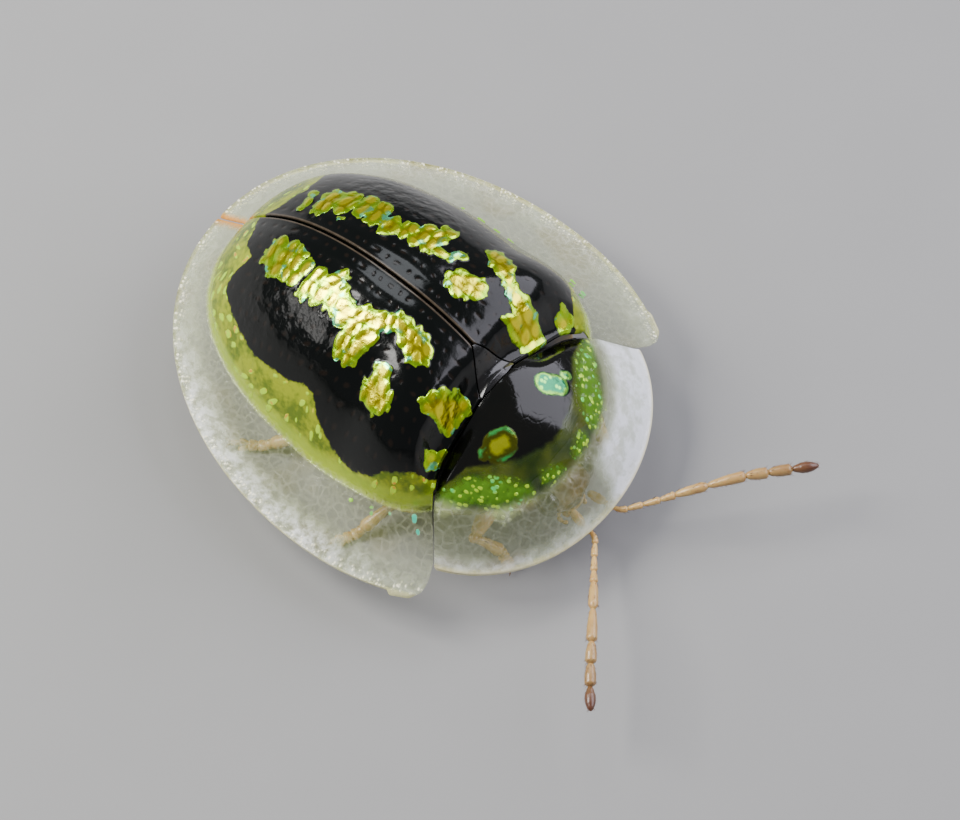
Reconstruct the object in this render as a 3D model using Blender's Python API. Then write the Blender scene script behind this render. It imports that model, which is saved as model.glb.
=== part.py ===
"""A tortoise beetle, life size, standing on the floor with its feelers spread.

X is the beetle's left, -Y is forwards, Z is up and the floor is z = 0. Stations are
distances forwards from the tail end of the shell, and heights "above the rim" are
measured from the level of the wing cases' thin outer edge. The wing cases (elytra)
and the neck shield (pronotum) are a domed disc with a thin flange all round it.
"""

import math

import bmesh
import bpy
from mathutils import Matrix, Vector

MM = 0.001

# Overall sizes
RIM_Z = 0.68 * MM  # the shell's thin outer edge stands this far above the floor
OVERALL_LENGTH = 7.62 * MM  # tail of the shell to the tips of the feelers
GAP = 0.08 * MM  # clearance between neighbouring solids

# Wing cases: superellipses about one centre, in plan
ELYTRA_CENTRE = 3.40 * MM
RIM_HALF_WIDTH = 2.60 * MM
RIM_TAIL, RIM_HEAD, RIM_POWER = 3.40 * MM, 2.90 * MM, 2.05
DISC_HALF_WIDTH = 1.82 * MM
DISC_TAIL, DISC_HEAD = 2.98 * MM, 1.50 * MM
DISC_POWER_TAIL, DISC_POWER_HEAD = 2.5, 2.8
DISC_EDGE_RISE = 0.40 * MM  # where the dome meets the flange, above the rim
SHOULDER_LIFT, LIFT_FROM, LIFT_TO = 0.20 * MM, 3.0 * MM, 4.0 * MM  # how it climbs forwards
DOME_RISE = 2.19 * MM  # top of the dome above the rim
DOME_PEAK = 2.95 * MM  # station of the top of the dome
DOME_TAIL, DOME_HEAD = 2.53 * MM, 2.20 * MM  # reach of the dome's profile each way
PROFILE_POWER, PROFILE_EXPONENT = 2.30, 0.78
BASE_FALL, BASE_FALL_FROM, BASE_FALL_TO = 0.18 * MM, 3.95 * MM, 4.32 * MM
SECTION_EXPONENT = 0.78
SECTION_POWER_TAIL, SECTION_POWER_SHOULDER = 2.6, 5.0
SHOULDER_FROM, SHOULDER_TO = 3.2 * MM, 4.4 * MM  # the section grows squarer between
ELYTRON_THICKNESS = 0.42 * MM
FLANGE_EDGE_THICKNESS = 0.15 * MM

# Neck shield
SHIELD_CENTRE = 4.38 * MM
SHIELD_HALF_WIDTH, SHIELD_HEAD, SHIELD_TAIL = 1.98 * MM, 1.62 * MM, 0.60 * MM
SHIELD_POWER = 2.05
SHIELD_RISE = 1.52 * MM
SHIELD_PROFILE_POWER = 1.70
SHIELD_SIDE_LIFT = 0.20 * MM  # the sides of its rim stand higher than its front
SHIELD_THICKNESS = 0.36 * MM
SHIELD_DISC = 0.66  # share of the way to the rim where the dome becomes a flange

# The line between wing cases and neck shield, from the midline out to the shoulder tip:
# (distance from the midline, station)
BASE_LINE = [
    (0.00, 4.36),
    (0.30, 4.34),
    (0.72, 4.38),
    (1.10, 4.41),
    (1.26, 4.46),
    (1.46, 4.59),
    (1.63, 4.75),
    (1.83, 4.92),
    (2.00, 4.99),
    (2.13, 5.00),
    (2.27, 4.92),
    (2.42, 4.70),
    (2.75, 4.20),
]
FRONT_FALL = 0.30 * MM  # behind this line the wing cases round down towards the shield
FRONT_STEP_MIDDLE, FRONT_STEP_SIDE = 0.03 * MM, 0.15 * MM  # how far they stay above it
FRONT_STEP_FROM, FRONT_STEP_TO = 0.5 * MM, 1.2 * MM
SCUTELLUM_TIP, SCUTELLUM_HALF_WIDTH = 3.98 * MM, 0.30 * MM
SCUTELLUM_DEPTH = 0.40 * MM

# Underside of the body
BELLY_Z = 0.60 * MM
BELLY_SIDE_LIFT = 0.16 * MM
BODY_SHARE = 0.90  # the body's outline as a share of the disc's
WAIST = 2.75 * MM  # station where the abdomen meets the thorax
NECK = 4.36 * MM  # station where the thorax meets the prothorax
PROTHORAX_FRONT = 5.02 * MM
STERNITE_GROOVES = [1.02, 1.42, 1.80, 2.20]  # stations, in millimetres
GROOVE_WIDTH, GROOVE_DEPTH = 0.07 * MM, 0.07 * MM

# Head
HEAD_BACK, HEAD_FRONT = 5.10 * MM, 5.64 * MM
HEAD_HALF_WIDTH, HEAD_TOP, HEAD_BOTTOM = 0.38 * MM, 1.04 * MM, 0.34 * MM
EYE_HALF_WIDTH, EYE_HALF_LENGTH, EYE_HALF_HEIGHT = 0.16 * MM, 0.18 * MM, 0.25 * MM

MOUTH_STATION, MOUTH_Z = 5.46 * MM, 0.31 * MM
LIP_RADII = (0.17 * MM, 0.10 * MM, 0.07 * MM)

# Legs: (station, distance from the midline, height) of the hip, knee, ankle and toe, in mm
LEGS = {
    "front": [(4.74, 0.34, 0.34), (4.94, 1.12, 0.34), (5.24, 0.90, 0.27), (5.38, 0.98, 0.15)],
    "middle": [(4.02, 0.50, 0.34), (3.94, 1.30, 0.34), (3.74, 1.80, 0.27), (3.60, 2.12, 0.15)],
    "hind": [(3.12, 0.54, 0.34), (2.66, 1.30, 0.34), (2.20, 1.66, 0.27), (1.86, 1.92, 0.15)],
}
THIGH_RADIUS, SHIN_RADIUS, FOOT_RADIUS = 0.23 * MM, 0.20 * MM, 0.16 * MM
FOOT_SEGMENTS = 3
SOLE_SHARE = 0.85  # a foot's height over the floor as a share of its radius, which leaves a flat

# Feelers: (station, distance from the midline, height) along the middle of each, in mm
FEELER_ROUTE = [
    (5.65, 0.19, 0.48),
    (5.84, 0.24, 0.37),
    (6.10, 0.33, 0.36),
    (6.42, 0.71, 0.58),
    (6.90, 1.31, 0.88),
    (7.20, 1.69, 0.90),
    (7.51, 2.06, 0.90),
]
FEELER_STEM_RADIUS, FEELER_CLUB_RADIUS, FEELER_TIP_RADIUS = 0.17 * MM, 0.23 * MM, 0.07 * MM
# length share of each of the eleven segments from the root
FEELER_SEGMENTS = [1.3, 0.8, 1.0, 1.0, 1.0, 0.9, 1.1, 1.1, 1.1, 1.1, 1.6]

# Colours and finishes: base colour, roughness, metallic
FINISHES = {
    "elytra": ((0.012, 0.012, 0.010), 0.15, 0.0),
    "shield": ((0.030, 0.060, 0.015), 0.15, 0.0),
    "body": ((0.020, 0.014, 0.010), 0.35, 0.0),
    "legs": ((0.420, 0.250, 0.070), 0.35, 0.0),
    "eyes": ((0.010, 0.010, 0.012), 0.10, 0.0),
    "feelers": ((0.480, 0.280, 0.080), 0.35, 0.0),
}


def place(x, station, z):
    """A point from its distance to the left, its station and its height over the floor."""
    return Vector((x, OVERALL_LENGTH / 2 - station, z))


def smooth_step(value, start, end):
    t = min(1.0, max(0.0, (value - start) / (end - start)))
    return t * t * (3 - 2 * t)


def reach(dx, ds, half_width, tail, head, power):
    """How far the superellipse lies from its centre in the unit direction (dx, ds)."""
    along = head if ds > 0 else tail
    return ((abs(dx) / half_width) ** power + (abs(ds) / along) ** power) ** (-1 / power)


def rim_reach(dx, ds):
    return reach(dx, ds, RIM_HALF_WIDTH, RIM_TAIL, RIM_HEAD, RIM_POWER)


def disc_power(ds):
    return DISC_POWER_HEAD if ds > 0 else DISC_POWER_TAIL


def disc_reach(dx, ds):
    return reach(dx, ds, DISC_HALF_WIDTH, DISC_TAIL, DISC_HEAD, disc_power(ds))


def shield_reach(dx, ds):
    return reach(dx, ds, SHIELD_HALF_WIDTH, SHIELD_TAIL, SHIELD_HEAD, SHIELD_POWER)


def direction(x, ds):
    length = math.hypot(x, ds)
    return (x / length, ds / length, length) if length > 0 else (0.0, -1.0, 0.0)


def profile(station):
    """Height of the wing cases' midline above the rim."""
    ahead = station - DOME_PEAK
    t = min(1.0, abs(ahead) / (DOME_HEAD if ahead > 0 else DOME_TAIL))
    rise = (DOME_RISE - DISC_EDGE_RISE) * (1 - t**PROFILE_POWER) ** PROFILE_EXPONENT
    return DISC_EDGE_RISE + rise - BASE_FALL * smooth_step(station, BASE_FALL_FROM, BASE_FALL_TO)


def base_station(distance):
    """Station of the line between wing cases and shield at a distance from the midline."""
    for (x0, s0), (x1, s1) in zip(BASE_LINE, BASE_LINE[1:]):
        if distance <= x1 * MM:
            return (s0 + (s1 - s0) * (distance / MM - x0) / (x1 - x0)) * MM
    return BASE_LINE[-1][1] * MM


def edge_rise(station):
    return DISC_EDGE_RISE + SHOULDER_LIFT * smooth_step(station, LIFT_FROM, LIFT_TO)


def dome_rise(x, station):
    """Height above the rim of the wing cases' outer surface, before it rounds down in front."""
    ds = station - ELYTRA_CENTRE
    ux, us, far = direction(x, ds)
    disc, rim, edge = disc_reach(ux, us), rim_reach(ux, us), edge_rise(station)
    if far >= disc:
        return edge * (1 - (far - disc) / (rim - disc))
    along = DISC_HEAD if ds > 0 else DISC_TAIL
    left_over = max(1e-9, 1 - (abs(ds) / along) ** disc_power(ds))
    half = DISC_HALF_WIDTH * left_over ** (1 / disc_power(ds))
    square = smooth_step(station, SHOULDER_FROM, SHOULDER_TO)
    power = SECTION_POWER_TAIL + (SECTION_POWER_SHOULDER - SECTION_POWER_TAIL) * square
    t = min(1.0, abs(x) / half)
    return edge + (profile(station) - edge) * (1 - t**power) ** SECTION_EXPONENT


def elytra_rise(x, station):
    """Height of the wing cases' outer surface above the rim."""
    dome = dome_rise(x, station)
    share = smooth_step(abs(x), FRONT_STEP_FROM, FRONT_STEP_TO)
    step = FRONT_STEP_MIDDLE + (FRONT_STEP_SIDE - FRONT_STEP_MIDDLE) * share
    spare = max(0.0, dome - shield_rise(x, station) - step)
    front = base_station(abs(x))
    return dome - spare * smooth_step(station, front - FRONT_FALL, front)


def shield_rise(x, station):
    """Height of the neck shield's outer surface above the rim of the wing cases."""
    ds = station - SHIELD_CENTRE
    ux, us, far = direction(x, ds)
    share = min(1.0, far / reach(ux, us, SHIELD_HALF_WIDTH, SHIELD_HEAD, SHIELD_HEAD, SHIELD_POWER))
    side = SHIELD_SIDE_LIFT * (x / SHIELD_HALF_WIDTH) ** 2
    return side + (SHIELD_RISE - side) * (1 - share**SHIELD_PROFILE_POWER)


def normal_at(rise, x, station, step=0.01 * MM):
    """Unit normal of a surface given by its rise, as (left, forward, up)."""
    slope_x = (rise(x + step, station) - rise(x - step, station)) / (2 * step)
    slope_s = (rise(x, station + step) - rise(x, station - step)) / (2 * step)
    return Vector((-slope_x, -slope_s, 1)).normalized()


def new_object(name, mesh_maker, finish=None):
    """A new object from a bmesh, with its faces pointing out."""
    mesh = bpy.data.meshes.new(name)
    bmesh.ops.recalc_face_normals(mesh_maker, faces=mesh_maker.faces)
    mesh_maker.to_mesh(mesh)
    mesh_maker.free()
    piece = bpy.data.objects.new(name, mesh)
    bpy.context.scene.collection.objects.link(piece)
    if finish:
        paint(piece, finish)
    return piece


def paint(piece, finish):
    material = bpy.data.materials.get(finish)
    if material is None:
        material = bpy.data.materials.new(finish)
        material.use_nodes = True
        colour, roughness, metallic = FINISHES[finish]
        shader = material.node_tree.nodes["Principled BSDF"]
        shader.inputs["Base Color"].default_value = (*colour, 1)
        shader.inputs["Roughness"].default_value = roughness
        shader.inputs["Metallic"].default_value = metallic
    piece.data.materials.clear()
    piece.data.materials.append(material)
    piece.data.shade_smooth()
    piece.data.set_sharp_from_angle(angle=math.radians(40))


def join_rings(maker, rings, closed=True):
    """Quads between neighbouring rings of vertices."""
    for lower, upper in zip(rings, rings[1:]):
        count = len(lower)
        for i in range(count if closed else count - 1):
            j = (i + 1) % count
            maker.faces.new((lower[i], lower[j], upper[j], upper[i]))


def plate(name, centre, shares, sectors, rise, slope, thickness, rim_of, disc_of):
    """A domed plate. shares are radii: up to 1 of the disc, and 1 to 2 across the flange.

    slope is the rise that its thickness is measured square to, so that the inside doesn't fold.
    """
    maker = bmesh.new()
    tops, bottoms = [], []
    for share in shares:
        top, bottom = [], []
        for k in range(sectors):
            angle = 2 * math.pi * k / sectors
            ux, us = math.sin(angle), -math.cos(angle)
            disc, rim = disc_of(ux, us), rim_of(ux, us)
            far = disc * share if share <= 1 else disc + (rim - disc) * (share - 1)
            x, station = ux * far, centre + us * far
            z = RIM_Z + rise(x, station)
            inward = normal_at(slope, x, station) * thickness(share)
            top.append(maker.verts.new(place(x, station, z)))
            bottom.append(maker.verts.new(place(x - inward.x, station - inward.y, z - inward.z)))
        tops.append(top)
        bottoms.append(bottom)
    z = RIM_Z + rise(0, centre)
    inward = normal_at(slope, 0, centre) * thickness(0)
    for rings, hub in (
        (tops, place(0, centre, z)),
        (bottoms, place(-inward.x, centre - inward.y, z - inward.z)),
    ):
        middle = maker.verts.new(hub)
        for k in range(sectors):
            maker.faces.new((middle, rings[0][k], rings[0][(k + 1) % sectors]))
        join_rings(maker, rings)
    join_rings(maker, [tops[-1], bottoms[-1]])
    return new_object(name, maker)


def prism(name, outline, low, high):
    """A closed prism over an outline of (x, station), between two heights."""
    maker = bmesh.new()
    bottom = [maker.verts.new(place(x, s, low)) for x, s in outline]
    top = [maker.verts.new(place(x, s, high)) for x, s in outline]
    join_rings(maker, [bottom, top])
    maker.faces.new(bottom)
    maker.faces.new(top)
    return new_object(name, maker)


def boolean(piece, operation, cutter, keep_cutter=False):
    """Applies one Boolean to the piece."""
    modifier = piece.modifiers.new("Boolean", "BOOLEAN")
    modifier.operation = operation
    modifier.object = cutter
    modifier.solver = "MANIFOLD"
    apply_modifiers(piece)
    if not keep_cutter:
        remove(cutter)


def apply_modifiers(piece):
    bpy.context.view_layer.update()
    graph = bpy.context.evaluated_depsgraph_get()
    mesh = bpy.data.meshes.new_from_object(piece.evaluated_get(graph))
    piece.modifiers.clear()
    piece.data = mesh


def remove(piece):
    bpy.data.objects.remove(piece)


def fuse(name, pieces, finish):
    """Joins closed pieces into one solid with one Boolean union, and keeps its largest surface."""
    first, rest = pieces[0], pieces[1:]
    if rest:
        group = bpy.data.collections.new(name + "_pieces")
        for piece in rest:
            group.objects.link(piece)
        modifier = first.modifiers.new("Union", "BOOLEAN")
        modifier.operation = "UNION"
        modifier.operand_type = "COLLECTION"
        modifier.collection = group
        modifier.solver = "MANIFOLD"
        apply_modifiers(first)
        for piece in rest:
            remove(piece)
        bpy.data.collections.remove(group)
    first.name = name
    keep_largest(first)
    paint(first, finish)
    return first


def keep_largest(piece):
    """Removes all but the largest closed surface."""
    maker = bmesh.new()
    maker.from_mesh(piece.data)
    left, groups = set(maker.verts), []
    while left:
        stack, group = [left.pop()], set()
        while stack:
            vert = stack.pop()
            group.add(vert)
            for edge in vert.link_edges:
                other = edge.other_vert(vert)
                if other in left:
                    left.discard(other)
                    stack.append(other)
        groups.append(group)
    groups.sort(key=len)
    scraps = [vert for group in groups[:-1] for vert in group]
    if scraps:
        bmesh.ops.delete(maker, geom=scraps, context="VERTS")
    maker.to_mesh(piece.data)
    maker.free()


def copy_of(piece, name):
    twin = piece.copy()
    twin.data = piece.data.copy()
    twin.name = name
    bpy.context.scene.collection.objects.link(twin)
    return twin


def base_outline(shift, front):
    """The base line mirrored about the midline and closed at the front or at the tail."""
    right = [(-x * MM, s * MM + shift) for x, s in reversed(BASE_LINE[1:])]
    left = [(x * MM, s * MM + shift) for x, s in BASE_LINE]
    far = BASE_LINE[-1][0] * MM + 1 * MM
    end = 8 * MM if front else -1 * MM
    return right + left + [(far, left[-1][1]), (far, end), (-far, end), (-far, left[-1][1])]


ELYTRA_SHARES = [0.18, 0.36, 0.52, 0.66, 0.78, 0.87, 0.94, 1.0, 1.25, 1.5, 1.75, 2.0]
SHIELD_SHARES = [0.25, 0.5, 0.75, 1.0, 1.33, 1.67, 2.0]
CUT_LOW, CUT_HIGH = -1 * MM, 5 * MM


def flange_thickness(full):
    """Thickness at a share: full on the disc, thinning across the flange to its edge."""

    def at(share):
        return full + (FLANGE_EDGE_THICKNESS - full) * max(0.0, share - 1) ** 0.8

    return at


def box(name, x_range, station_range, z_range):
    (x0, x1), (s0, s1) = x_range, station_range
    return prism(name, [(x0, s0), (x1, s0), (x1, s1), (x0, s1)], *z_range)


def scutellum_outline(grow):
    """The small triangle between the wing cases, grown on all sides."""
    base = SHIELD_CENTRE - 0.04 * MM
    side = SCUTELLUM_HALF_WIDTH
    slant = math.hypot(side, base - SCUTELLUM_TIP)
    return [
        (0.0, SCUTELLUM_TIP - grow * slant / side),
        (side + grow * (slant + side) / (base - SCUTELLUM_TIP), base + grow),
        (-side - grow * (slant + side) / (base - SCUTELLUM_TIP), base + grow),
    ]


def make_elytra():
    whole = plate(
        "elytra", ELYTRA_CENTRE, ELYTRA_SHARES, 76, elytra_rise, dome_rise,
        flange_thickness(ELYTRON_THICKNESS), rim_reach, disc_reach,
    )
    front = prism("front_cut", base_outline(-GAP / 2, True), CUT_LOW, CUT_HIGH)
    boolean(whole, "DIFFERENCE", front)
    boolean(whole, "DIFFERENCE", prism("scutellum_cut", scutellum_outline(GAP), CUT_LOW, CUT_HIGH))
    for side, name in ((1, "elytron_left"), (-1, "elytron_right")):
        half = copy_of(whole, name)
        other = sorted((side * GAP / 2, -side * 9 * MM))
        boolean(half, "DIFFERENCE", box("half_cut", other, (-1 * MM, 9 * MM), (CUT_LOW, CUT_HIGH)))
        keep_largest(half)
        paint(half, "elytra")
    remove(whole)


def shield_disc_reach(dx, ds):
    return SHIELD_DISC * shield_reach(dx, ds)


def make_shield():
    shield = plate(
        "pronotum", SHIELD_CENTRE, SHIELD_SHARES, 64, shield_rise, shield_rise,
        flange_thickness(SHIELD_THICKNESS), shield_reach, shield_disc_reach,
    )
    boolean(shield, "DIFFERENCE", prism("tail_cut", base_outline(GAP / 2, False), CUT_LOW, CUT_HIGH))
    keep_largest(shield)
    paint(shield, "shield")


def make_scutellum():
    """A triangular plate level with the wing cases, standing on the thorax."""
    maker = bmesh.new()
    top, bottom = [], []
    for x, station in scutellum_outline(0):
        z = RIM_Z + elytra_rise(x, station) - 0.03 * MM
        top.append(maker.verts.new(place(x, station, z)))
        bottom.append(maker.verts.new(place(x, station, z - SCUTELLUM_DEPTH)))
    join_rings(maker, [bottom, top])
    maker.faces.new(top)
    maker.faces.new(bottom)
    new_object("scutellum", maker, "body")


def belly_z(x):
    return BELLY_Z + BELLY_SIDE_LIFT * (x / DISC_HALF_WIDTH) ** 2


def body_core(name, centre, shares, sectors, rise, slope, depth, outline_of):
    """What fills a dome: its top lies depth inside the outer surface, and its bottom is the belly."""
    maker = bmesh.new()
    tops, bottoms = [], []
    for share in shares:
        top, bottom = [], []
        for k in range(sectors):
            angle = 2 * math.pi * k / sectors
            ux, us = math.sin(angle), -math.cos(angle)
            far = outline_of(ux, us) * share
            x, station = ux * far, centre + us * far
            inward = normal_at(slope, x, station) * depth
            point = (x - inward.x, station - inward.y, RIM_Z + rise(x, station) - inward.z)
            low = belly_z(point[0])
            top.append(maker.verts.new(place(point[0], point[1], max(point[2], low + 0.05 * MM))))
            bottom.append(maker.verts.new(place(point[0], point[1], low)))
        tops.append(top)
        bottoms.append(bottom)
    high = RIM_Z + rise(0, centre) - depth
    for rings, z in ((tops, high), (bottoms, belly_z(0))):
        middle = maker.verts.new(place(0, centre, z))
        for k in range(sectors):
            maker.faces.new((middle, rings[0][k], rings[0][(k + 1) % sectors]))
        join_rings(maker, rings)
    join_rings(maker, [tops[-1], bottoms[-1]])
    return new_object(name, maker)


def make_body():
    depth = ELYTRON_THICKNESS + GAP
    core = body_core(
        "abdomen", ELYTRA_CENTRE, [0.3, 0.55, 0.75, BODY_SHARE], 48, elytra_rise, dome_rise, depth,
        disc_reach,
    )
    thorax = copy_of(core, "thorax")
    cut = box("cut", (-9 * MM, 9 * MM), (WAIST - GAP / 2, 9 * MM), (CUT_LOW, CUT_HIGH))
    boolean(core, "DIFFERENCE", cut)
    for station in STERNITE_GROOVES:
        low = station * MM - GROOVE_WIDTH / 2
        groove = box("groove", (-2 * MM, 2 * MM), (low, low + GROOVE_WIDTH), (CUT_LOW, BELLY_Z + GROOVE_DEPTH))
        boolean(core, "DIFFERENCE", groove)
    keep_largest(core)
    paint(core, "body")
    cut = box("cut", (-9 * MM, 9 * MM), (-1 * MM, WAIST + GAP / 2), (CUT_LOW, CUT_HIGH))
    boolean(thorax, "DIFFERENCE", cut)
    cut = box("cut", (-9 * MM, 9 * MM), (NECK - GAP, 9 * MM), (CUT_LOW, CUT_HIGH))
    boolean(thorax, "DIFFERENCE", cut)
    boolean(thorax, "DIFFERENCE", bpy.data.objects["scutellum"], keep_cutter=True)
    keep_largest(thorax)
    paint(thorax, "body")
    prothorax = body_core(
        "prothorax", SHIELD_CENTRE, [0.3, 0.6, 0.9, 1.1], 40, shield_rise, shield_rise,
        SHIELD_THICKNESS + GAP, shield_disc_reach,
    )
    cut = box("cut", (-9 * MM, 9 * MM), (-1 * MM, NECK), (CUT_LOW, CUT_HIGH))
    boolean(prothorax, "DIFFERENCE", cut)
    cut = box("cut", (-9 * MM, 9 * MM), (PROTHORAX_FRONT, 9 * MM), (CUT_LOW, CUT_HIGH))
    boolean(prothorax, "DIFFERENCE", cut)
    keep_largest(prothorax)
    paint(prothorax, "body")


def limb(route, radii, sides=12, flatten=1.0, floor=0.0):
    """A closed tube through points, with its own radius at each and rounded ends; nothing goes below the floor."""
    maker = bmesh.new()
    rings = []
    count = len(route)
    for i, (point, radius) in enumerate(zip(route, radii)):
        ahead = (route[min(i + 1, count - 1)] - route[max(i - 1, 0)]).normalized()
        across = ahead.cross(Vector((0, 0, 1))).normalized()
        up = across.cross(ahead).normalized()
        ring = []
        for k in range(sides):
            a = 2 * math.pi * k / sides
            spot = point + across * math.cos(a) * radius + up * math.sin(a) * radius * flatten
            spot.z = max(spot.z, floor)
            ring.append(maker.verts.new(spot))
        rings.append(ring)
    join_rings(maker, rings)
    maker.faces.new(rings[0])
    maker.faces.new(rings[-1])
    return new_object("limb", maker)


def capsule(start, end, r_start, r_end, steps=3, **options):
    """A tapering rod with rounded ends that reach past both points."""
    way = (end - start).normalized()
    route, radii = [], []
    for k in range(steps):
        a = math.pi / 2 * (k + 0.35) / steps
        route.append(start - way * r_start * math.cos(a))
        radii.append(r_start * math.sin(a))
    route += [start, end]
    radii += [r_start, r_end]
    for k in reversed(range(steps)):
        a = math.pi / 2 * (k + 0.35) / steps
        route.append(end + way * r_end * math.cos(a))
        radii.append(r_end * math.sin(a))
    return limb(route, radii, **options)


def make_leg(name, stops, side):
    hip, knee, ankle, toe = (place(side * x * MM, s * MM, z * MM) for s, x, z in stops)
    top = hip.copy()
    top.z = belly_z(hip.x) - GAP
    pieces = [capsule(hip, knee, THIGH_RADIUS * 0.85, THIGH_RADIUS, sides=14)]
    coxa = bmesh.new()
    bmesh.ops.create_cone(
        coxa, cap_ends=True, segments=14, radius1=THIGH_RADIUS * 0.8, radius2=THIGH_RADIUS * 0.95,
        depth=top.z - hip.z, matrix=Matrix.Translation((hip + top) / 2),
    )
    pieces.append(new_object("coxa", coxa))
    pieces.append(capsule(knee, ankle, SHIN_RADIUS * 0.9, SHIN_RADIUS, sides=12))
    for k in range(FOOT_SEGMENTS):
        start = ankle.lerp(toe, k / FOOT_SEGMENTS)
        end = ankle.lerp(toe, (k + 0.55) / FOOT_SEGMENTS)
        radius = FOOT_RADIUS * (1.12 - 0.16 * k)
        start.z = end.z = radius * SOLE_SHARE
        pieces.append(capsule(start, end, radius * 0.8, radius, sides=12, steps=2, flatten=0.95))
    fuse(name, pieces, "legs")


def make_legs():
    for pair, stops in LEGS.items():
        for side, word in ((1, "left"), (-1, "right")):
            make_leg(f"leg_{pair}_{word}", stops, side)


def curve_through(points, samples):
    """Evenly numbered points on a smooth curve through the given ones."""
    ends = [points[0] * 2 - points[1]] + points + [points[-1] * 2 - points[-2]]
    line = []
    for i in range(samples):
        t = i / (samples - 1) * (len(points) - 1)
        k = min(int(t), len(points) - 2)
        u = t - k
        a, b, c, d = ends[k : k + 4]
        line.append(
            0.5 * (2 * b + (c - a) * u + (2 * a - 5 * b + 4 * c - d) * u**2 + (3 * b - a - 3 * c + d) * u**3)
        )
    return line


def make_feeler(name, side):
    """Eleven beads on a bent line, the last five wider, the last one pointed."""
    line = curve_through([place(side * x * MM, s * MM, z * MM) for s, x, z in FEELER_ROUTE], 241)
    whole = sum(FEELER_SEGMENTS)
    route, radii, done = [], [], 0.0
    for number, length in enumerate(FEELER_SEGMENTS):
        club = smooth_step(number, 4, 8)
        radius = FEELER_STEM_RADIUS + (FEELER_CLUB_RADIUS - FEELER_STEM_RADIUS) * club
        last = number == len(FEELER_SEGMENTS) - 1
        beads = [(0.0, 0.80), (0.2, 0.95), (0.7, 1.0), (0.92, 0.92)]
        if last:
            beads = [(0.0, 0.80), (0.2, 0.95), (0.5, 0.85), (0.8, 0.55), (1.0, 0.0)]
        for share, swell in beads:
            spot = (done + share * length) / whole
            route.append(line[round(spot * (len(line) - 1))])
            radii.append(max(radius * swell, FEELER_TIP_RADIUS if last else 0.0))
        done += length
    piece = limb(route, radii, sides=12)
    piece.name = name
    paint(piece, "feelers")


def ellipsoid(name, centre, radii, segments=20, rings=14):
    maker = bmesh.new()
    bmesh.ops.create_uvsphere(maker, u_segments=segments, v_segments=rings, radius=1)
    matrix = Matrix.Translation(centre) @ Matrix.Diagonal((*radii, 1))
    bmesh.ops.transform(maker, matrix=matrix, verts=maker.verts)
    return new_object(name, maker)


def make_head():
    middle = (HEAD_BACK + HEAD_FRONT) / 2
    centre = place(0, middle, (HEAD_TOP + HEAD_BOTTOM) / 2)
    radii = (HEAD_HALF_WIDTH, (HEAD_FRONT - HEAD_BACK) / 2, (HEAD_TOP - HEAD_BOTTOM) / 2)
    head = ellipsoid("head", centre, radii)
    eye_radii = (EYE_HALF_WIDTH, EYE_HALF_LENGTH, EYE_HALF_HEIGHT)
    for side, word in ((1, "left"), (-1, "right")):
        spot = centre + Vector((side * HEAD_HALF_WIDTH * 0.95, 0, 0.04 * MM))
        eye = ellipsoid("eye_" + word, spot, eye_radii, 16, 10)
        socket = ellipsoid("socket", centre, [r + GAP for r in radii])
        boolean(eye, "DIFFERENCE", socket)
        keep_largest(eye)
        paint(eye, "eyes")
    paint(head, "body")


def make_mouth():
    """Upper lip, a pair of jaws and a pair of palps, under the front of the head."""
    pieces = [ellipsoid("lip", place(0, MOUTH_STATION, MOUTH_Z), LIP_RADII, 16, 10)]
    for side in (1, -1):
        root = place(side * 0.09 * MM, MOUTH_STATION - 0.02 * MM, MOUTH_Z)
        tip = place(side * 0.02 * MM, MOUTH_STATION, MOUTH_Z - 0.13 * MM)
        pieces.append(capsule(root, tip, 0.07 * MM, 0.03 * MM, sides=10))
        palp = place(side * 0.17 * MM, MOUTH_STATION - 0.02 * MM, MOUTH_Z - 0.11 * MM)
        pieces.append(capsule(root, palp, 0.05 * MM, 0.03 * MM, sides=8))
    mouth = fuse("mouthparts", pieces, "legs")
    radii = (HEAD_HALF_WIDTH, (HEAD_FRONT - HEAD_BACK) / 2, (HEAD_TOP - HEAD_BOTTOM) / 2)
    centre = place(0, (HEAD_BACK + HEAD_FRONT) / 2, (HEAD_TOP + HEAD_BOTTOM) / 2)
    boolean(mouth, "DIFFERENCE", ellipsoid("clear", centre, [r + GAP / 2 for r in radii]))
    keep_largest(mouth)


def main():
    for piece in list(bpy.data.objects):
        bpy.data.objects.remove(piece)
    make_scutellum()
    make_elytra()
    make_shield()
    make_body()
    make_legs()
    for side, word in ((1, "left"), (-1, "right")):
        make_feeler("antenna_" + word, side)
    make_head()
    make_mouth()


main()
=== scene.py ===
"""A tortoise beetle at life size, standing still on a pale studio floor.

Lengths in the fine shapes are in millimetres until a mesh is made. x is the beetle's left,
s is the distance forwards from the tail of the shell, and z is the height over the floor.
"""

import math

import bmesh
import bpy
import numpy as np
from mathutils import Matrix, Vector


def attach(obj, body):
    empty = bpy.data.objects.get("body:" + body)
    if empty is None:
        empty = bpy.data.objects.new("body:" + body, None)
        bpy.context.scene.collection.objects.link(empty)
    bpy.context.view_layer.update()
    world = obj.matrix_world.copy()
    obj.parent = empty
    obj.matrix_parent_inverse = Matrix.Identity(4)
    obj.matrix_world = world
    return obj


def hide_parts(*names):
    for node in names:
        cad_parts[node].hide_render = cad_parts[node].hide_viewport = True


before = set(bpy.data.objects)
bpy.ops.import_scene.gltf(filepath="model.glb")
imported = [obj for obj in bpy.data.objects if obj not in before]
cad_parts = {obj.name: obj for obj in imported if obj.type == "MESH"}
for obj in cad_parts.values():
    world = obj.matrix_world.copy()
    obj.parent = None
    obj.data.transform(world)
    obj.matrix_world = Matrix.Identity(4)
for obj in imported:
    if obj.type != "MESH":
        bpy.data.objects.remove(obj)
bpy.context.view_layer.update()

MM = 0.001
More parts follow.
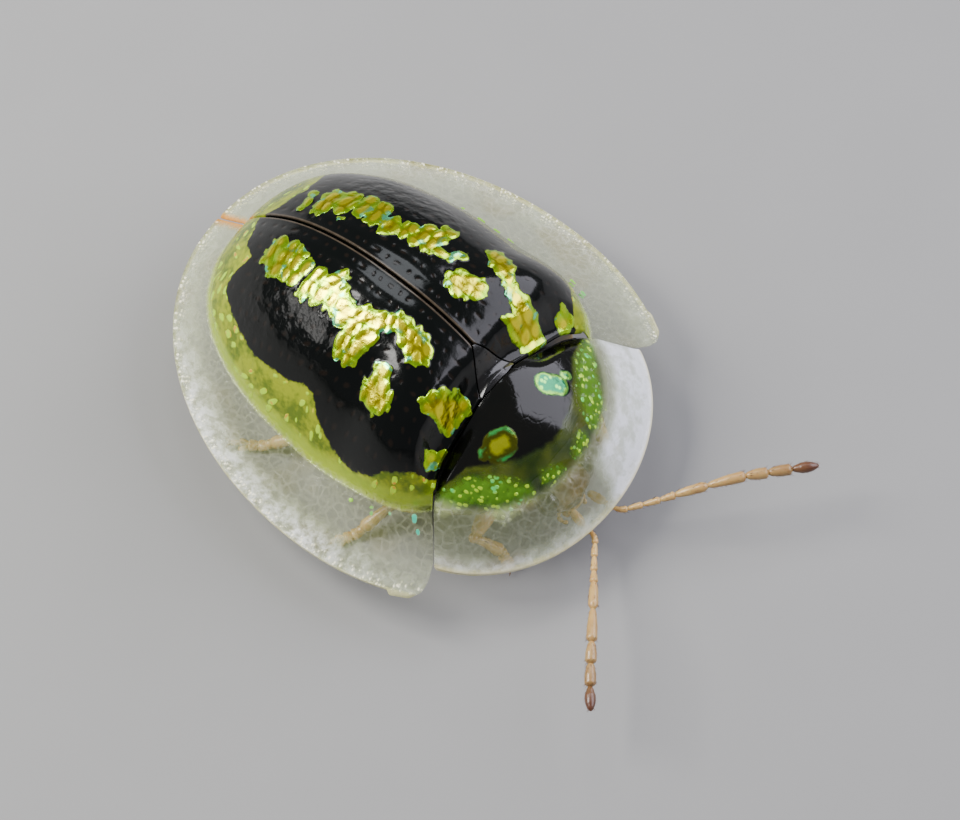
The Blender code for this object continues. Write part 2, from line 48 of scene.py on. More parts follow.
RIM_Z = 0.68
LENGTH = 7.62  # tail of the shell to the tips of the feelers
SIDES = ((1, "left"), (-1, "right"))
# points round an outline, and rings from its hub to its rim
PLATE_POINTS, PLATE_RINGS = 900, 150
BELLY_POINTS, BELLY_RINGS = 360, 104
BREAST_POINTS, BREAST_RINGS = 240, 40
EDGE_ROUND = 0.015  # share of a plate over which its edge is rounded

# ---- the shell's surface, as in the solids ----
ELYTRA_CENTRE = 3.40
# half-width, reach to the tail, reach to the head, power behind and ahead of the middle
RIM = (2.60, 3.40, 2.90, 2.05, 2.05)
DISC = (1.82, 2.98, 1.50, 2.5, 2.8)
DISC_EDGE_RISE, DOME_RISE, DOME_PEAK = 0.40, 2.19, 2.95
SHIELD_CENTRE, SHIELD_RISE = 4.38, 1.52
SHIELD_RIM = (1.98, 1.62, 1.62, 2.05, 2.05)
# the line between wing cases and neck shield: (distance from the midline, station)
BASE_LINE = [
    (0.00, 4.36), (0.30, 4.34), (0.72, 4.38), (1.10, 4.41), (1.26, 4.46), (1.46, 4.59), (1.63, 4.75),
    (1.83, 4.92), (2.00, 4.99), (2.13, 5.00), (2.27, 4.92), (2.42, 4.70), (2.75, 4.20),
]


def smooth(value, start, end):
    """From 0 at start to 1 at end, with a soft beginning and end."""
    t = np.clip((value - start) / (end - start), 0, 1)
    return t * t * (3 - 2 * t)


def reach(ux, us, shape):
    """How far a rounded outline lies from its centre in a direction."""
    half, tail, head, power_behind, power_ahead = shape
    along = np.where(us > 0, head, tail)
    power = np.where(us > 0, power_ahead, power_behind)
    return ((np.abs(ux) / half) ** power + (np.abs(us) / along) ** power + 1e-12) ** (-1 / power)


def polar(x, s, centre):
    ds = s - centre
    far = np.hypot(x, ds) + 1e-9
    return x / far, ds / far, far


def profile(s):
    """Height of the dome along its midline."""
    ahead = s - DOME_PEAK
    t = np.clip(np.abs(ahead) / np.where(ahead > 0, 2.20, 2.53), 0, 1)
    return DISC_EDGE_RISE + (DOME_RISE - DISC_EDGE_RISE) * (1 - t**2.3) ** 0.78 - 0.18 * smooth(s, 3.95, 4.32)


def elytra_rise(x, s):
    """Height of the wing cases' surface above the rim."""
    ux, us, far = polar(x, s, ELYTRA_CENTRE)
    disc, rim = reach(ux, us, DISC), reach(ux, us, RIM)
    edge = DISC_EDGE_RISE + 0.20 * smooth(s, 3.0, 4.0)
    flange = edge * (1 - (far - disc) / (rim - disc))
    ds = s - ELYTRA_CENTRE
    along, power = np.where(ds > 0, DISC[2], DISC[1]), np.where(ds > 0, DISC[4], DISC[3])
    half = DISC[0] * np.clip(1 - (np.abs(ds) / along) ** power, 1e-9, 1) ** (1 / power)
    squareness = 2.6 + 2.4 * smooth(s, 3.2, 4.4)
    t = np.clip(np.abs(x) / half, 0, 1)
    dome = edge + (profile(s) - edge) * (1 - t**squareness) ** 0.78
    step = 0.03 + 0.12 * smooth(np.abs(x), 0.5, 1.2)
    spare = np.maximum(0, dome - shield_rise(x, s) - step)
    front = np.interp(np.abs(x), *np.array(BASE_LINE).T)
    dome = dome - spare * smooth(s, front - 0.30, front)
    return np.where(far >= disc, flange, dome)


def shield_share(x, s):
    ux, us, far = polar(x, s, SHIELD_CENTRE)
    return far / reach(ux, us, SHIELD_RIM)


def shield_rise(x, s):
    side = 0.20 * (x / SHIELD_RIM[0]) ** 2
    return side + (SHIELD_RISE - side) * (1 - np.clip(shield_share(x, s), 0, 1) ** 1.7)


def surface_normal(rise, x, s, step=0.012):
    slope_x = (rise(x + step, s) - rise(x - step, s)) / (2 * step)
    slope_s = (rise(x, s + step) - rise(x, s - step)) / (2 * step)
    length = np.sqrt(1 + slope_x**2 + slope_s**2)
    return -slope_x / length, -slope_s / length, 1 / length


# ---- making meshes ----
def to_world(x, s, z):
    return np.stack([x, LENGTH / 2 - s, z], axis=-1) * MM


def make_mesh(name, points, faces, material):
    mesh = bpy.data.meshes.new(name)
    mesh.from_pydata(points.tolist(), [], faces)
    mesh.update()
    mesh.shade_smooth()
    piece = bpy.data.objects.new(name, mesh)
    bpy.context.scene.collection.objects.link(piece)
    mesh.materials.append(material)
    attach(piece, "root")
    return piece


def grid_faces(rows, columns, start=0, flip=False):
    """Quads of a grid of rows by columns, closed along its columns."""
    i, j = np.meshgrid(np.arange(rows - 1), np.arange(columns), indexing="ij")
    k = (j + 1) % columns
    corners = [i * columns + j, i * columns + k, (i + 1) * columns + k, (i + 1) * columns + j]
    quads = np.stack([c.ravel() + start for c in corners], axis=1)
    return quads[:, ::-1] if flip else quads


def capped_faces(rows, sides):
    """Quads of a closed grid, with a cap at each end."""
    caps = [list(range(sides))[::-1], [(rows - 1) * sides + k for k in range(sides)]]
    return grid_faces(rows, sides).tolist() + caps


def plan_points(loop, hub, spread):
    """A hub, then rings between it and an outline in plan."""
    x = np.r_[hub[0], (hub[0] + (loop[:, 0] - hub[0]) * spread[:, None]).ravel()]
    s = np.r_[hub[1], (hub[1] + (loop[:, 1] - hub[1]) * spread[:, None]).ravel()]
    return x, s


def two_sided_faces(count, rings):
    """Faces of an upper and a lower sheet, each a hub with rings, joined along their rims."""
    total = 1 + rings * count
    fan = [(0, 1 + (j + 1) % count, 1 + j) for j in range(count)]
    faces = fan + grid_faces(rings, count, 1).tolist()
    faces += [(total + a, total + c, total + b) for a, b, c in fan]
    faces += grid_faces(rings, count, 1 + total, flip=True).tolist()
    edge = 1 + (rings - 1) * count
    for j in range(count):
        k = (j + 1) % count
        faces.append((edge + k, edge + j, total + edge + j, total + edge + k))
    return faces


def set_field(piece, name, values):
    kind = "FLOAT" if values.ndim == 1 else "FLOAT_VECTOR"
    layer = piece.data.attributes.new(name, kind, "POINT")
    layer.data.foreach_set("value" if values.ndim == 1 else "vector", values.astype(np.float32).ravel())


def outline_loop(corners, count, soften):
    """Evenly spaced points on a closed outline, its corners softened over a length in mm."""
    closed = np.array(corners + [corners[0]])
    lengths = np.r_[0, np.cumsum(np.hypot(*np.diff(closed, axis=0).T))]
    spots = np.linspace(0, lengths[-1], count, endpoint=False)
    loop = np.stack([np.interp(spots, lengths, closed[:, k]) for k in (0, 1)], axis=1)
    window = max(1, int(soften / lengths[-1] * count))
    weights = np.hanning(2 * window + 3)[1:-1]
    weights /= weights.sum()
    wrapped = np.concatenate([loop[-window:], loop, loop[:window]])
    return np.stack([np.convolve(wrapped[:, k], weights, "valid") for k in (0, 1)], axis=1)


def shell_plate(name, loop, hub, rings, rise, relief, thickness, material, fields):
    """A thin curved plate inside a closed plan outline, with a rounded edge and fine relief on top."""
    count = len(loop)
    spread = np.sin(np.linspace(0, 1, rings + 1)[1:] * math.pi / 2) ** 0.9
    x, s = plan_points(loop, hub, spread)
    to_edge = np.r_[1.0, np.repeat((1 - spread) * 1.2, count)]
    thick = thickness(x, s) * np.clip(np.sqrt(np.clip(to_edge / EDGE_ROUND, 0, 1)), 0.02, 1)
    nx, ns, nz = surface_normal(rise, x, s)
    z = RIM_Z + rise(x, s)
    lift = relief(x, s) * np.clip(to_edge / EDGE_ROUND, 0, 1)
    drop = (thickness(x, s) - thick) / 2
    tops = to_world(x + nx * (lift - drop), s + ns * (lift - drop), z + nz * (lift - drop))
    low = drop + thick
    bottoms = to_world(x - nx * low, s - ns * low, z - nz * low)
    piece = make_mesh(name, np.concatenate([tops, bottoms]), two_sided_faces(count, rings), material)
    fix_normals(piece)
    for field, values in fields(x, s).items():
        set_field(piece, field, np.concatenate([values, values]))
    return piece


def fix_normals(piece):
    maker = bmesh.new()
    maker.from_mesh(piece.data)
    bmesh.ops.recalc_face_normals(maker, faces=maker.faces)
    maker.to_mesh(piece.data)
    maker.free()


# ---- markings ----
# strokes in plan: (distance from the midline, station) of both ends and the radius at both ends
BAND_LEFT = [
    (0.20, 1.17, 0.46, 1.14, 0.05, 0.06),
    (0.28, 1.40, 0.50, 1.42, 0.12, 0.13),
    (0.40, 1.62, 0.58, 1.62, 0.12, 0.12),
    (0.45, 1.85, 0.66, 1.84, 0.10, 0.11),
    (0.46, 2.05, 0.66, 2.04, 0.12, 0.12),
    (0.45, 2.28, 0.54, 2.28, 0.12, 0.11),
    (0.52, 2.45, 0.62, 2.50, 0.10, 0.12),
    (0.54, 2.62, 0.76, 2.66, 0.11, 0.11),
    (0.58, 2.80, 0.92, 2.80, 0.12, 0.08),
    (0.86, 2.86, 1.02, 2.88, 0.06, 0.02),
    (0.58, 2.90, 0.60, 3.05, 0.08, 0.06),
    (0.60, 3.05, 0.78, 3.17, 0.06, 0.05),
    (0.235, 1.71, 0.24, 1.72, 0.035, 0.035),
    (0.42, 3.34, 0.44, 3.42, 0.14, 0.17),
    (0.45, 3.42, 0.52, 3.56, 0.19, 0.16),
    (1.08, 3.38, 1.02, 3.52, 0.11, 0.15),
    (1.00, 3.58, 0.84, 3.82, 0.14, 0.07),
    (0.84, 3.80, 0.74, 4.15, 0.08, 0.17),
    (0.54, 4.06, 0.62, 4.24, 0.08, 0.15),
    (0.74, 4.15, 0.74, 4.26, 0.16, 0.13),
    (1.14, 4.36, 1.24, 4.33, 0.09, 0.09),
]
BAND_RIGHT = [
    (0.36, 1.32, 0.56, 1.30, 0.11, 0.09),
    (0.36, 1.52, 0.66, 1.50, 0.11, 0.12),
    (0.40, 1.66, 0.66, 1.66, 0.10, 0.11),
    (0.46, 1.84, 0.70, 1.80, 0.09, 0.08),
    (0.48, 2.03, 0.74, 2.02, 0.10, 0.10),
    (0.38, 2.28, 0.70, 2.20, 0.10, 0.12),
    (0.48, 2.36, 0.66, 2.40, 0.10, 0.13),
    (0.62, 2.50, 0.70, 2.62, 0.13, 0.17),
    (0.62, 2.78, 1.02, 2.80, 0.13, 0.09),
    (0.72, 3.00, 1.00, 2.94, 0.13, 0.12),
    (0.60, 2.80, 0.55, 3.00, 0.13, 0.12),
    (0.55, 3.00, 0.40, 3.20, 0.12, 0.12),
    (0.40, 3.20, 0.44, 3.36, 0.12, 0.13),
    (0.46, 3.44, 0.52, 3.58, 0.17, 0.18),
    (1.14, 3.38, 1.18, 3.56, 0.13, 0.15),
    (0.94, 3.38, 1.10, 3.50, 0.11, 0.12),
    (0.90, 4.02, 0.76, 4.18, 0.08, 0.16),
    (0.80, 4.10, 0.52, 4.24, 0.14, 0.11),
    (1.20, 4.32, 1.06, 4.38, 0.07, 0.07),
]
# bright specks by the foot of the dome
SPECKS_LEFT = [
    (1.84, 2.22, 1.85, 2.24, 0.012, 0.012), (1.86, 2.46, 1.86, 2.54, 0.020, 0.016),
    (1.87, 2.70, 1.87, 2.76, 0.018, 0.018), (1.88, 2.90, 1.88, 2.98, 0.012, 0.008),
    (1.90, 3.86, 1.89, 3.92, 0.018, 0.012), (1.86, 4.06, 1.85, 4.10, 0.022, 0.018),
]
SPECKS_RIGHT = [
    (1.63, 4.46, 1.65, 4.48, 0.028, 0.024), (1.71, 4.58, 1.72, 4.60, 0.020, 0.016),
    (1.92, 3.72, 1.93, 3.74, 0.014, 0.010), (1.90, 4.02, 1.91, 4.04, 0.010, 0.008),
    (1.86, 3.98, 1.86, 4.00, 0.008, 0.008), (1.78, 4.20, 1.78, 4.22, 0.010, 0.008),
]
# the edge of the black, from the midline at the tail round to the base: (distance from the midline, station)
BLACK_EDGE_LEFT = [
    (0.00, 0.72), (0.15, 0.85), (0.35, 0.92), (0.50, 0.98), (0.75, 0.95), (1.00, 0.88), (1.20, 1.02),
    (1.40, 1.25), (1.55, 1.55), (1.66, 1.95), (1.73, 2.35), (1.77, 2.80), (1.78, 3.30), (1.77, 3.60),
    (1.70, 3.88), (1.58, 4.10), (1.42, 4.27), (1.28, 4.42), (1.24, 4.60), (0.00, 4.95),
]
BLACK_EDGE_RIGHT = [
    (0.00, 0.70), (0.10, 0.72), (0.25, 0.80), (0.45, 0.87), (0.52, 0.97), (0.60, 1.07), (0.72, 1.03),
    (0.76, 0.99), (0.90, 0.985), (1.00, 1.02), (1.10, 1.15), (1.20, 1.30), (1.30, 1.48), (1.37, 1.65),
    (1.44, 1.85), (1.46, 2.10), (1.48, 2.40), (1.44, 2.60), (1.46, 2.76), (1.53, 2.86), (1.60, 2.96),
    (1.66, 3.15), (1.71, 3.35), (1.75, 3.60), (1.71, 3.85), (1.62, 4.00), (1.53, 4.15), (1.42, 4.28),
    (1.28, 4.44), (1.24, 4.60), (0.00, 4.95),
]


def stroke_distance(x, s, strokes):
    """Signed distance to a union of tapered strokes."""
    nearest = np.full(x.shape, 9.0)
    for ax, a_s, bx, bs, ra, rb in strokes:
        dx, ds = bx - ax, bs - a_s
        t = np.clip(((x - ax) * dx + (s - a_s) * ds) / (dx * dx + ds * ds + 1e-9), 0, 1)
        away = np.hypot(x - ax - dx * t, s - a_s - ds * t) - (ra + (rb - ra) * t)
        nearest = np.minimum(nearest, away)
    return nearest


def own_strokes(x, s, left, right):
    """Signed distance to the strokes of the side that each point lies on."""
    side = np.abs(x)
    return np.where(x > 0, stroke_distance(side, s, left), stroke_distance(side, s, right))


def edge_reach(angle, edge):
    """How far an edge lies from the centre of the wing cases at an angle from the tail."""
    across, along = np.array(edge).T
    angles = np.degrees(np.arctan2(across, ELYTRA_CENTRE - along))
    return np.interp(angle, angles, np.hypot(across, along - ELYTRA_CENTRE))


ROW_SPACING, DOT_SPACING = 0.165, 0.150


def dot_cells(x, s):
    """Coordinates in which the punctures stand at the middle of unit cells."""
    side = np.abs(x)
    rows = (side + 0.115) / ROW_SPACING + 0.35 * np.sin(s * 2.1 + 0.7) * smooth(side, 0.2, 0.7)
    along = s / DOT_SPACING + 0.22 * np.sin(x * 9.0 + s * 3.0) + 0.15 * np.sin(s * 17.0 + x * 5.0)
    return rows, along


def dot_distance(rows, along):
    along = along + 0.5 * (np.floor(rows) % 2)
    du = rows - np.floor(rows) - 0.5
    dv = along - np.floor(along) - 0.5
    return np.hypot(du * ROW_SPACING, dv * DOT_SPACING)


def lump_height(rows, along):
    """Oval cushions between the punctures, wider across the shell than along it."""
    along = along + 0.5 * (np.floor(rows) % 2) + 0.5
    du = rows - np.floor(rows) - 0.5
    dv = along - np.floor(along) - 0.5
    return np.cos(math.pi * du) ** 0.7 * np.exp(-((dv * DOT_SPACING / 0.046) ** 2))


def elytra_fields(x, s):
    side = np.abs(x)
    rows, along = dot_cells(x, s)
    lumps = lump_height(rows, along)
    gold = own_strokes(x, s, BAND_LEFT, BAND_RIGHT)
    ux, us, far = polar(x, s, ELYTRA_CENTRE)
    angle = np.degrees(np.arctan2(np.abs(ux), -us))
    black = far - np.where(x > 0, edge_reach(angle, BLACK_EDGE_LEFT), edge_reach(angle, BLACK_EDGE_RIGHT))
    disc, rim = reach(ux, us, DISC), reach(ux, us, RIM)
    wrinkled = smooth(side, 0.5, 0.8) * smooth(1.4 - side, 0.0, 0.3)
    wrinkled = wrinkled * smooth(s, 1.2, 1.6) * smooth(3.1 - s, 0.0, 0.5)
    return {
        "wrinkled": wrinkled,
        "gold": gold - 0.042 * (lumps - 0.45),
        "lumps": lumps,
        "black": black,
        "flange": far - disc,
        "to_rim": rim - far,
        "specks": own_strokes(x, s, SPECKS_LEFT, SPECKS_RIGHT),
        "ring": angle * np.sign(x + 1e-9),
        "cells": np.stack([rows, along, 0 * x], axis=1),
    }


def elytra_relief(x, s):
    fields = elytra_fields(x, s)
    pits = np.exp(-((dot_distance(fields["cells"][:, 0], fields["cells"][:, 1]) / 0.034) ** 2))
    on_disc = smooth(-fields["flange"], 0.0, 0.08)
    golden = smooth(-fields["gold"], -0.03, 0.05) * smooth(-fields["black"], -0.02, 0.03)
    middle = smooth(-fields["gold"], 0.04, 0.12)
    cushions = 0.006 + (0.0100 - 0.0035 * middle) * fields["lumps"] - 0.003 * pits
    near_suture = smooth(0.45 - np.abs(x), 0.0, 0.3)
    bead = np.exp(-(((fields["to_rim"] - 0.03) / 0.035) ** 2)) * 0.018
    groove = -0.035 * np.exp(-((fields["flange"] / 0.045) ** 2))
    costa = 0.006 * np.exp(-(((np.abs(x) - 0.21) / 0.06) ** 2))
    costa = costa * smooth(s, 0.9, 1.4) * smooth(3.4 - s, 0.0, 0.6)
    suture = 0.003 * np.exp(-(((np.abs(x) - 0.035) / 0.03) ** 2)) * smooth(s, 0.5, 1.0)
    waves = 0.005 * np.sin(x * 6.0 + s * 2.0) * np.sin(s * 5.0 - x * 3.0)
    dark = (0.0010 + 0.002 * near_suture) * pits - costa
    return on_disc * (golden * cushions - (1 - golden) * dark + waves) + bead + groove + suture


# ---- materials ----
class Value:
    """A number or colour that varies over a surface, with arithmetic."""

    def __init__(self, paint, socket):
        self.paint, self.socket = paint, socket

    def math(self, kind, other=None, flip=False):
        pair = (other, self) if flip else (self, other)
        return self.paint.node("ShaderNodeMath", "Value", {"operation": kind}, dict(enumerate(pair)))

    def __add__(self, other):
        return self.math("ADD", other)

    def __sub__(self, other):
        return self.math("SUBTRACT", other)

    def __rsub__(self, other):
        return self.math("SUBTRACT", other, True)

    def __mul__(self, other):
        return self.math("MULTIPLY", other)

    def __pow__(self, other):
        return self.math("POWER", other)

    __radd__ = __add__

    def floor(self):
        return self.math("FLOOR")

    def part(self):
        return self.math("FRACT")

    def size(self):
        return self.math("ABSOLUTE")

    def least(self, other):
        return self.math("MINIMUM", other)

    def smooth(self, start, end):
        return self.paint.node(
            "ShaderNodeMapRange", "Result", {"interpolation_type": "SMOOTHSTEP"},
            {0: self, 1: start, 2: end, 3: 0.0, 4: 1.0},
        )


class Paint:
    """One material with its shader and the values that feed it."""

    def __init__(self, name, **constants):
        self.material = bpy.data.materials.new(name)
        self.material.use_nodes = True
        self.tree = self.material.node_tree
        self.shader = self.tree.nodes["Principled BSDF"]
        for socket, value in constants.items():
            self.shader.inputs[socket.replace("_", " ")].default_value = value

    def node(self, kind, output, settings=None, values=None):
        made = self.tree.nodes.new(kind)
        for key, value in (settings or {}).items():
            setattr(made, key, value)
        for key, value in (values or {}).items():
            if isinstance(value, Value):
                self.tree.links.new(value.socket, made.inputs[key])
            elif value is not None:
                made.inputs[key].default_value = value
        return Value(self, made.outputs[output])

    def field(self, name):
        return self.node("ShaderNodeAttribute", "Fac", {"attribute_name": name})

    def field_parts(self, name):
        vector = self.node("ShaderNodeAttribute", "Vector", {"attribute_name": name})
        split = self.tree.nodes.new("ShaderNodeSeparateXYZ")
        self.tree.links.new(vector.socket, split.inputs[0])
        return [Value(self, out) for out in split.outputs]

    def place(self):
        """Position in the object, in millimetres."""
        spot = self.node("ShaderNodeTexCoord", "Object")
        return self.node("ShaderNodeVectorMath", "Vector", {"operation": "SCALE"}, {0: spot, "Scale": 1000.0})

    def noise(self, scale, detail=3.0, vector=None, rough=0.5):
        return self.node(
            "ShaderNodeTexNoise", "Fac", None,
            {"Vector": vector or self.place(), "Scale": scale, "Detail": detail, "Roughness": rough},
        )

    def cells(self, scale, feature="F1", vector=None):
        values = {"Vector": vector or self.place(), "Scale": scale}
        return self.node("ShaderNodeTexVoronoi", "Distance", {"feature": feature}, values)

    def across(self):
        """Distance from the midline, to the beetle's left."""
        return self.node("ShaderNodeSeparateXYZ", "X", None, {0: self.place()})

    def facing(self, blend):
        return self.node("ShaderNodeLayerWeight", "Facing", None, {"Blend": blend})

    def mix(self, share, first, second):
        """From the first colour to the second."""
        values = {0: share}
        for key, colour in ((6, first), (7, second)):
            values[key] = colour if isinstance(colour, Value) else (*colour, 1.0)
        return self.node("ShaderNodeMix", 2, {"data_type": "RGBA"}, values)

    def vector(self, x, y, z=0.0):
        return self.node("ShaderNodeCombineXYZ", "Vector", None, {0: x, 1: y, 2: z})

    def link(self, **values):
        for socket, value in values.items():
            self.tree.links.new(value.socket, self.shader.inputs[socket.replace("_", " ")])

    def bump(self, height, distance, strength=1.0):
        """distance is in millimetres."""
        values = {"Strength": strength, "Distance": distance * MM, "Height": height}
        made = self.node("ShaderNodeBump", "Normal", None, values)
        self.tree.links.new(made.socket, self.shader.inputs["Normal"])


def elytra_paint():
    paint = Paint("wing_case", Coat_Weight=0.22, Coat_Roughness=0.07, Specular_IOR_Level=0.20, IOR=1.5)
    gold_away, black_away, lumps = paint.field("gold"), paint.field("black"), paint.field("lumps")
    flange_away, to_rim, ring = paint.field("flange"), paint.field("to_rim"), paint.field("ring")
    specks, wrinkled = paint.field("specks"), paint.field("wrinkled")
    rows, along, _ = paint.field_parts("cells")
    fine, coarse, middling = paint.noise(14.0, 4.0), paint.noise(3.0, 2.0), paint.noise(6.5, 2.0)
    ragged = fine - 0.5
    odd = (rows.floor() * 0.5).part()
    du = (rows.part() - 0.5) * ROW_SPACING
    dv = ((along + odd).part() - 0.5) * DOT_SPACING
    dot_away = (du * du + dv * dv) ** 0.5 + ragged * 0.012
    pits = 1 - dot_away.smooth(0.012, 0.036)
    golden = 1 - (gold_away + ragged * 0.045).smooth(-0.008, 0.010)
    inside = 1 - (gold_away + (coarse - 0.5) * 0.08).smooth(-0.10, -0.01)
    deep = 1 - gold_away.smooth(-0.18, -0.11)
    on_black = 1 - (black_away + ragged * 0.05).smooth(-0.010, 0.012)
    on_disc = 1 - (flange_away + ragged * 0.03).smooth(-0.02, 0.04)
    # black, with brown in the punctures and in a pair of lines along the midline
    across = paint.across().size()
    suture = across.smooth(0.016, 0.024) * (1 - across.smooth(0.036, 0.050)) * (fine + 0.4)
    black = paint.mix(pits * 0.15, (0.0008, 0.0014, 0.0009), (0.040, 0.020, 0.010))
    black = paint.mix(suture * 0.6, black, (0.10, 0.075, 0.05))
    # gold: painted brighter on the cushions and darker between them as painted highlight and shade, lime at
    # the edges, with painted sea-green glints
    gold = paint.mix(lumps.smooth(0.05, 0.55), (0.50, 0.45, 0.004), (1.0, 0.90, 0.010))
    gold = paint.mix(deep * coarse.smooth(0.50, 0.64) * 0.4, gold, (0.60, 0.34, 0.010))
    gold = paint.mix((1 - inside) * 0.75, gold, (0.36, 0.84, 0.008))
    gold = paint.mix((1 - inside) * middling.smooth(0.60, 0.65), gold, (0.20, 0.95, 0.45))
    gold = paint.mix(pits * 0.25, gold, (0.25, 0.14, 0.006))
    disc = paint.mix(golden, black, gold)
    # the olive band between the black and the flange, with rows of raised specks, their bright green and
    # orange colour painted glints
    speck_place = paint.vector(ring * 0.26, black_away * 11.0)
    speck = paint.node(
        "ShaderNodeTexVoronoi", "Distance", None, {"Vector": speck_place, "Scale": 1.0, "Randomness": 0.65}
    )
    bright = 1 - (speck + ragged * 0.35).smooth(0.24, 0.34)
    mottled = (coarse * 0.6 + fine * 0.4).smooth(0.38, 0.60)
    olive = paint.mix(mottled, (0.10, 0.16, 0.004), (0.30, 0.36, 0.006))
    olive = paint.mix(bright, olive, (0.62, 1.0, 0.020))
    olive = paint.mix(bright * middling.smooth(0.58, 0.62), olive, (0.85, 0.50, 0.03))
    foot = flange_away.smooth(-0.10, -0.03)
    olive = paint.mix(foot * 0.6, olive, (0.52, 0.72, 0.010))
    disc = paint.mix(on_black, olive, disc)
    # the clear flange: finely netted, with a painted whitish reflection in streaks near its rim and a row of
    # painted glints along it
    net = paint.cells(9.0, "DISTANCE_TO_EDGE").smooth(0.0, 0.14)
    cloud = paint.noise(1.5, 3.0)
    streaks = paint.noise(1.0, 4.0, paint.vector(ring * 0.30, to_rim * 7.0), 0.65).smooth(0.36, 0.62)
    near_tail = ring.smooth(-20.0, -45.0) * ring.smooth(-125.0, -90.0)
    # painted reflection: whitish streaks near the rim, strongest towards the tail
    painted_reflection = (1 - to_rim.smooth(0.10, 0.42)) * (streaks * 0.8 + 0.2) * (0.35 + near_tail * 0.65)
    clear = paint.mix(cloud.smooth(0.46, 0.66), (0.52, 0.60, 0.22), (0.36, 0.36, 0.10))
    clear = paint.mix((1 - net) * 0.4, clear, (0.80, 0.80, 0.66))
    clear = paint.mix(painted_reflection, clear, (0.88, 0.90, 0.87))
    # painted glints in a row just inside the rim
    glint_cells = paint.cells(1.0, vector=paint.vector(ring * 1.10, to_rim * 20.0))
    bead = (1 - glint_cells.smooth(0.15, 0.40)) * (1 - to_rim.smooth(0.08, 0.15)) * to_rim.smooth(0.015, 0.03)
    clear = paint.mix(bead, clear, (1.0, 0.95, 0.72))
    rim_line = 1 - to_rim.smooth(0.010, 0.035)
    clear = paint.mix(rim_line * 0.8, clear, (0.78, 0.74, 0.40))
    tail = (1 - (across + ragged * 0.08).smooth(0.02, 0.13)) * (1 - to_rim.smooth(0.46, 0.62))
    clear = paint.mix(tail, clear, (0.75, 0.33, 0.05))
    olive_tail = tail * (1 - on_black)
    colour = paint.mix(on_disc, clear, paint.mix(olive_tail, disc, (0.60, 0.24, 0.02)))
    on_speck = 1 - (specks + ragged * 0.02).smooth(-0.004, 0.006)
    speck_colour = paint.mix(ring.size().smooth(100.0, 125.0), (0.40, 0.95, 0.05), (0.05, 0.85, 0.55))
    colour = paint.mix(on_speck, colour, speck_colour)
    metal = on_disc * (on_black * golden * 0.96 + (1 - on_black) * (bright * 0.4 + 0.10)) + on_speck * 0.5
    see = painted_reflection * 0.62 + (1 - net) * 0.08 + bead * 0.9 + rim_line * 0.60 + paint.facing(0.30) * 0.14
    see = see + cloud.smooth(0.48, 0.68) * 0.12 + tail * 0.5 + on_speck
    alpha = (on_disc * 0.97 + see + 0.06).least(1.0)
    rough = 0.13 + golden * on_black * 0.10 + (1 - on_black) * 0.06 + fine * 0.04
    paint.link(Base_Color=colour, Metallic=metal.least(1.0), Alpha=alpha, Roughness=rough)
    paint.link(Coat_Weight=0.22 - golden * 0.18)
    grain = fine * (golden * 0.6 + 0.30) + (1 - pits) * 0.15 + golden * paint.cells(13.0) * 0.5
    grain = grain + wrinkled * (1 - golden) * (middling * 3.0 + paint.cells(8.0) * 1.2)
    grain = grain + bright * 0.8 * (1 - on_black) + (streaks * painted_reflection + net * 0.1) * (1 - on_disc)
    paint.bump(grain, 0.009, 0.8)
    return paint.material


# ---- the two wing cases ----
def rim_points(shape, centre, start, end, count):
    """Points on a superellipse, between two angles from the tail."""
    angles = np.radians(np.linspace(start, end, count))
    ux, us = np.sin(angles), -np.cos(angles)
    far = reach(ux, us, shape)
    return [(a, centre + b) for a, b in zip(ux * far, us * far)]


def make_wing_cases(material):
    rim = rim_points(RIM, ELYTRA_CENTRE, 0.3, 118.5, 160)
    corners = [(0.012, 0.005), *rim, (2.39, 4.70), *reversed(BASE_LINE[1:11]), (0.012, 3.97)]
    loop = outline_loop(corners, PLATE_POINTS, 0.05)
    loop[:, 0] = np.maximum(loop[:, 0], 0.006)

    def thickness(x, s):
        return 0.045 + 0.055 * smooth(-elytra_flange(x, s), 0.0, 0.2)

    for side, word in SIDES:
        mirrored = loop * (side, 1)
        piece = shell_plate(
            f"wing_case_{word}", mirrored, (side * 1.15, 2.9), PLATE_RINGS, elytra_rise, elytra_relief,
            thickness, material, elytra_fields,
        )
        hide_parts(f"elytron_{word}")


def elytra_flange(x, s):
    ux, us, far = polar(x, s, ELYTRA_CENTRE)
    return far - reach(ux, us, DISC)


# ---- the neck shield ----
def shield_corners():
    rim = rim_points(SHIELD_RIM, SHIELD_CENTRE, 180, 107, 110)
    base = [(x, s + 0.012) for x, s in reversed(BASE_LINE[1:8])]
    half = rim + base
    return half + [(0.0, 4.37)] + [(-x, s) for x, s in reversed(half)]


# strokes in plan, as on the wing cases
SPOT_LEFT = [
    (0.40, 4.74, 0.50, 4.83, 0.13, 0.12), (0.36, 4.72, 0.38, 4.74, 0.09, 0.09),
    (0.67, 4.79, 0.69, 4.80, 0.05, 0.05),
]
SPOT_RIGHT = [(0.46, 4.84, 0.56, 4.80, 0.15, 0.16), (0.66, 4.75, 0.70, 4.74, 0.08, 0.07)]
SPECKLE_LEFT = [
    (1.30, 4.64, 0.98, 4.86, 0.06, 0.10), (0.98, 4.86, 0.76, 5.14, 0.10, 0.15),
    (0.76, 5.14, 0.56, 5.34, 0.15, 0.06),
]
SPECKLE_RIGHT = [
    (1.32, 4.66, 1.05, 4.86, 0.10, 0.11), (1.02, 4.90, 0.88, 5.16, 0.11, 0.16),
    (0.88, 5.16, 0.62, 5.34, 0.17, 0.07),
]
SPECKLE_FRONT = [(0.15, 5.44, 0.34, 5.38, 0.035, 0.045)]
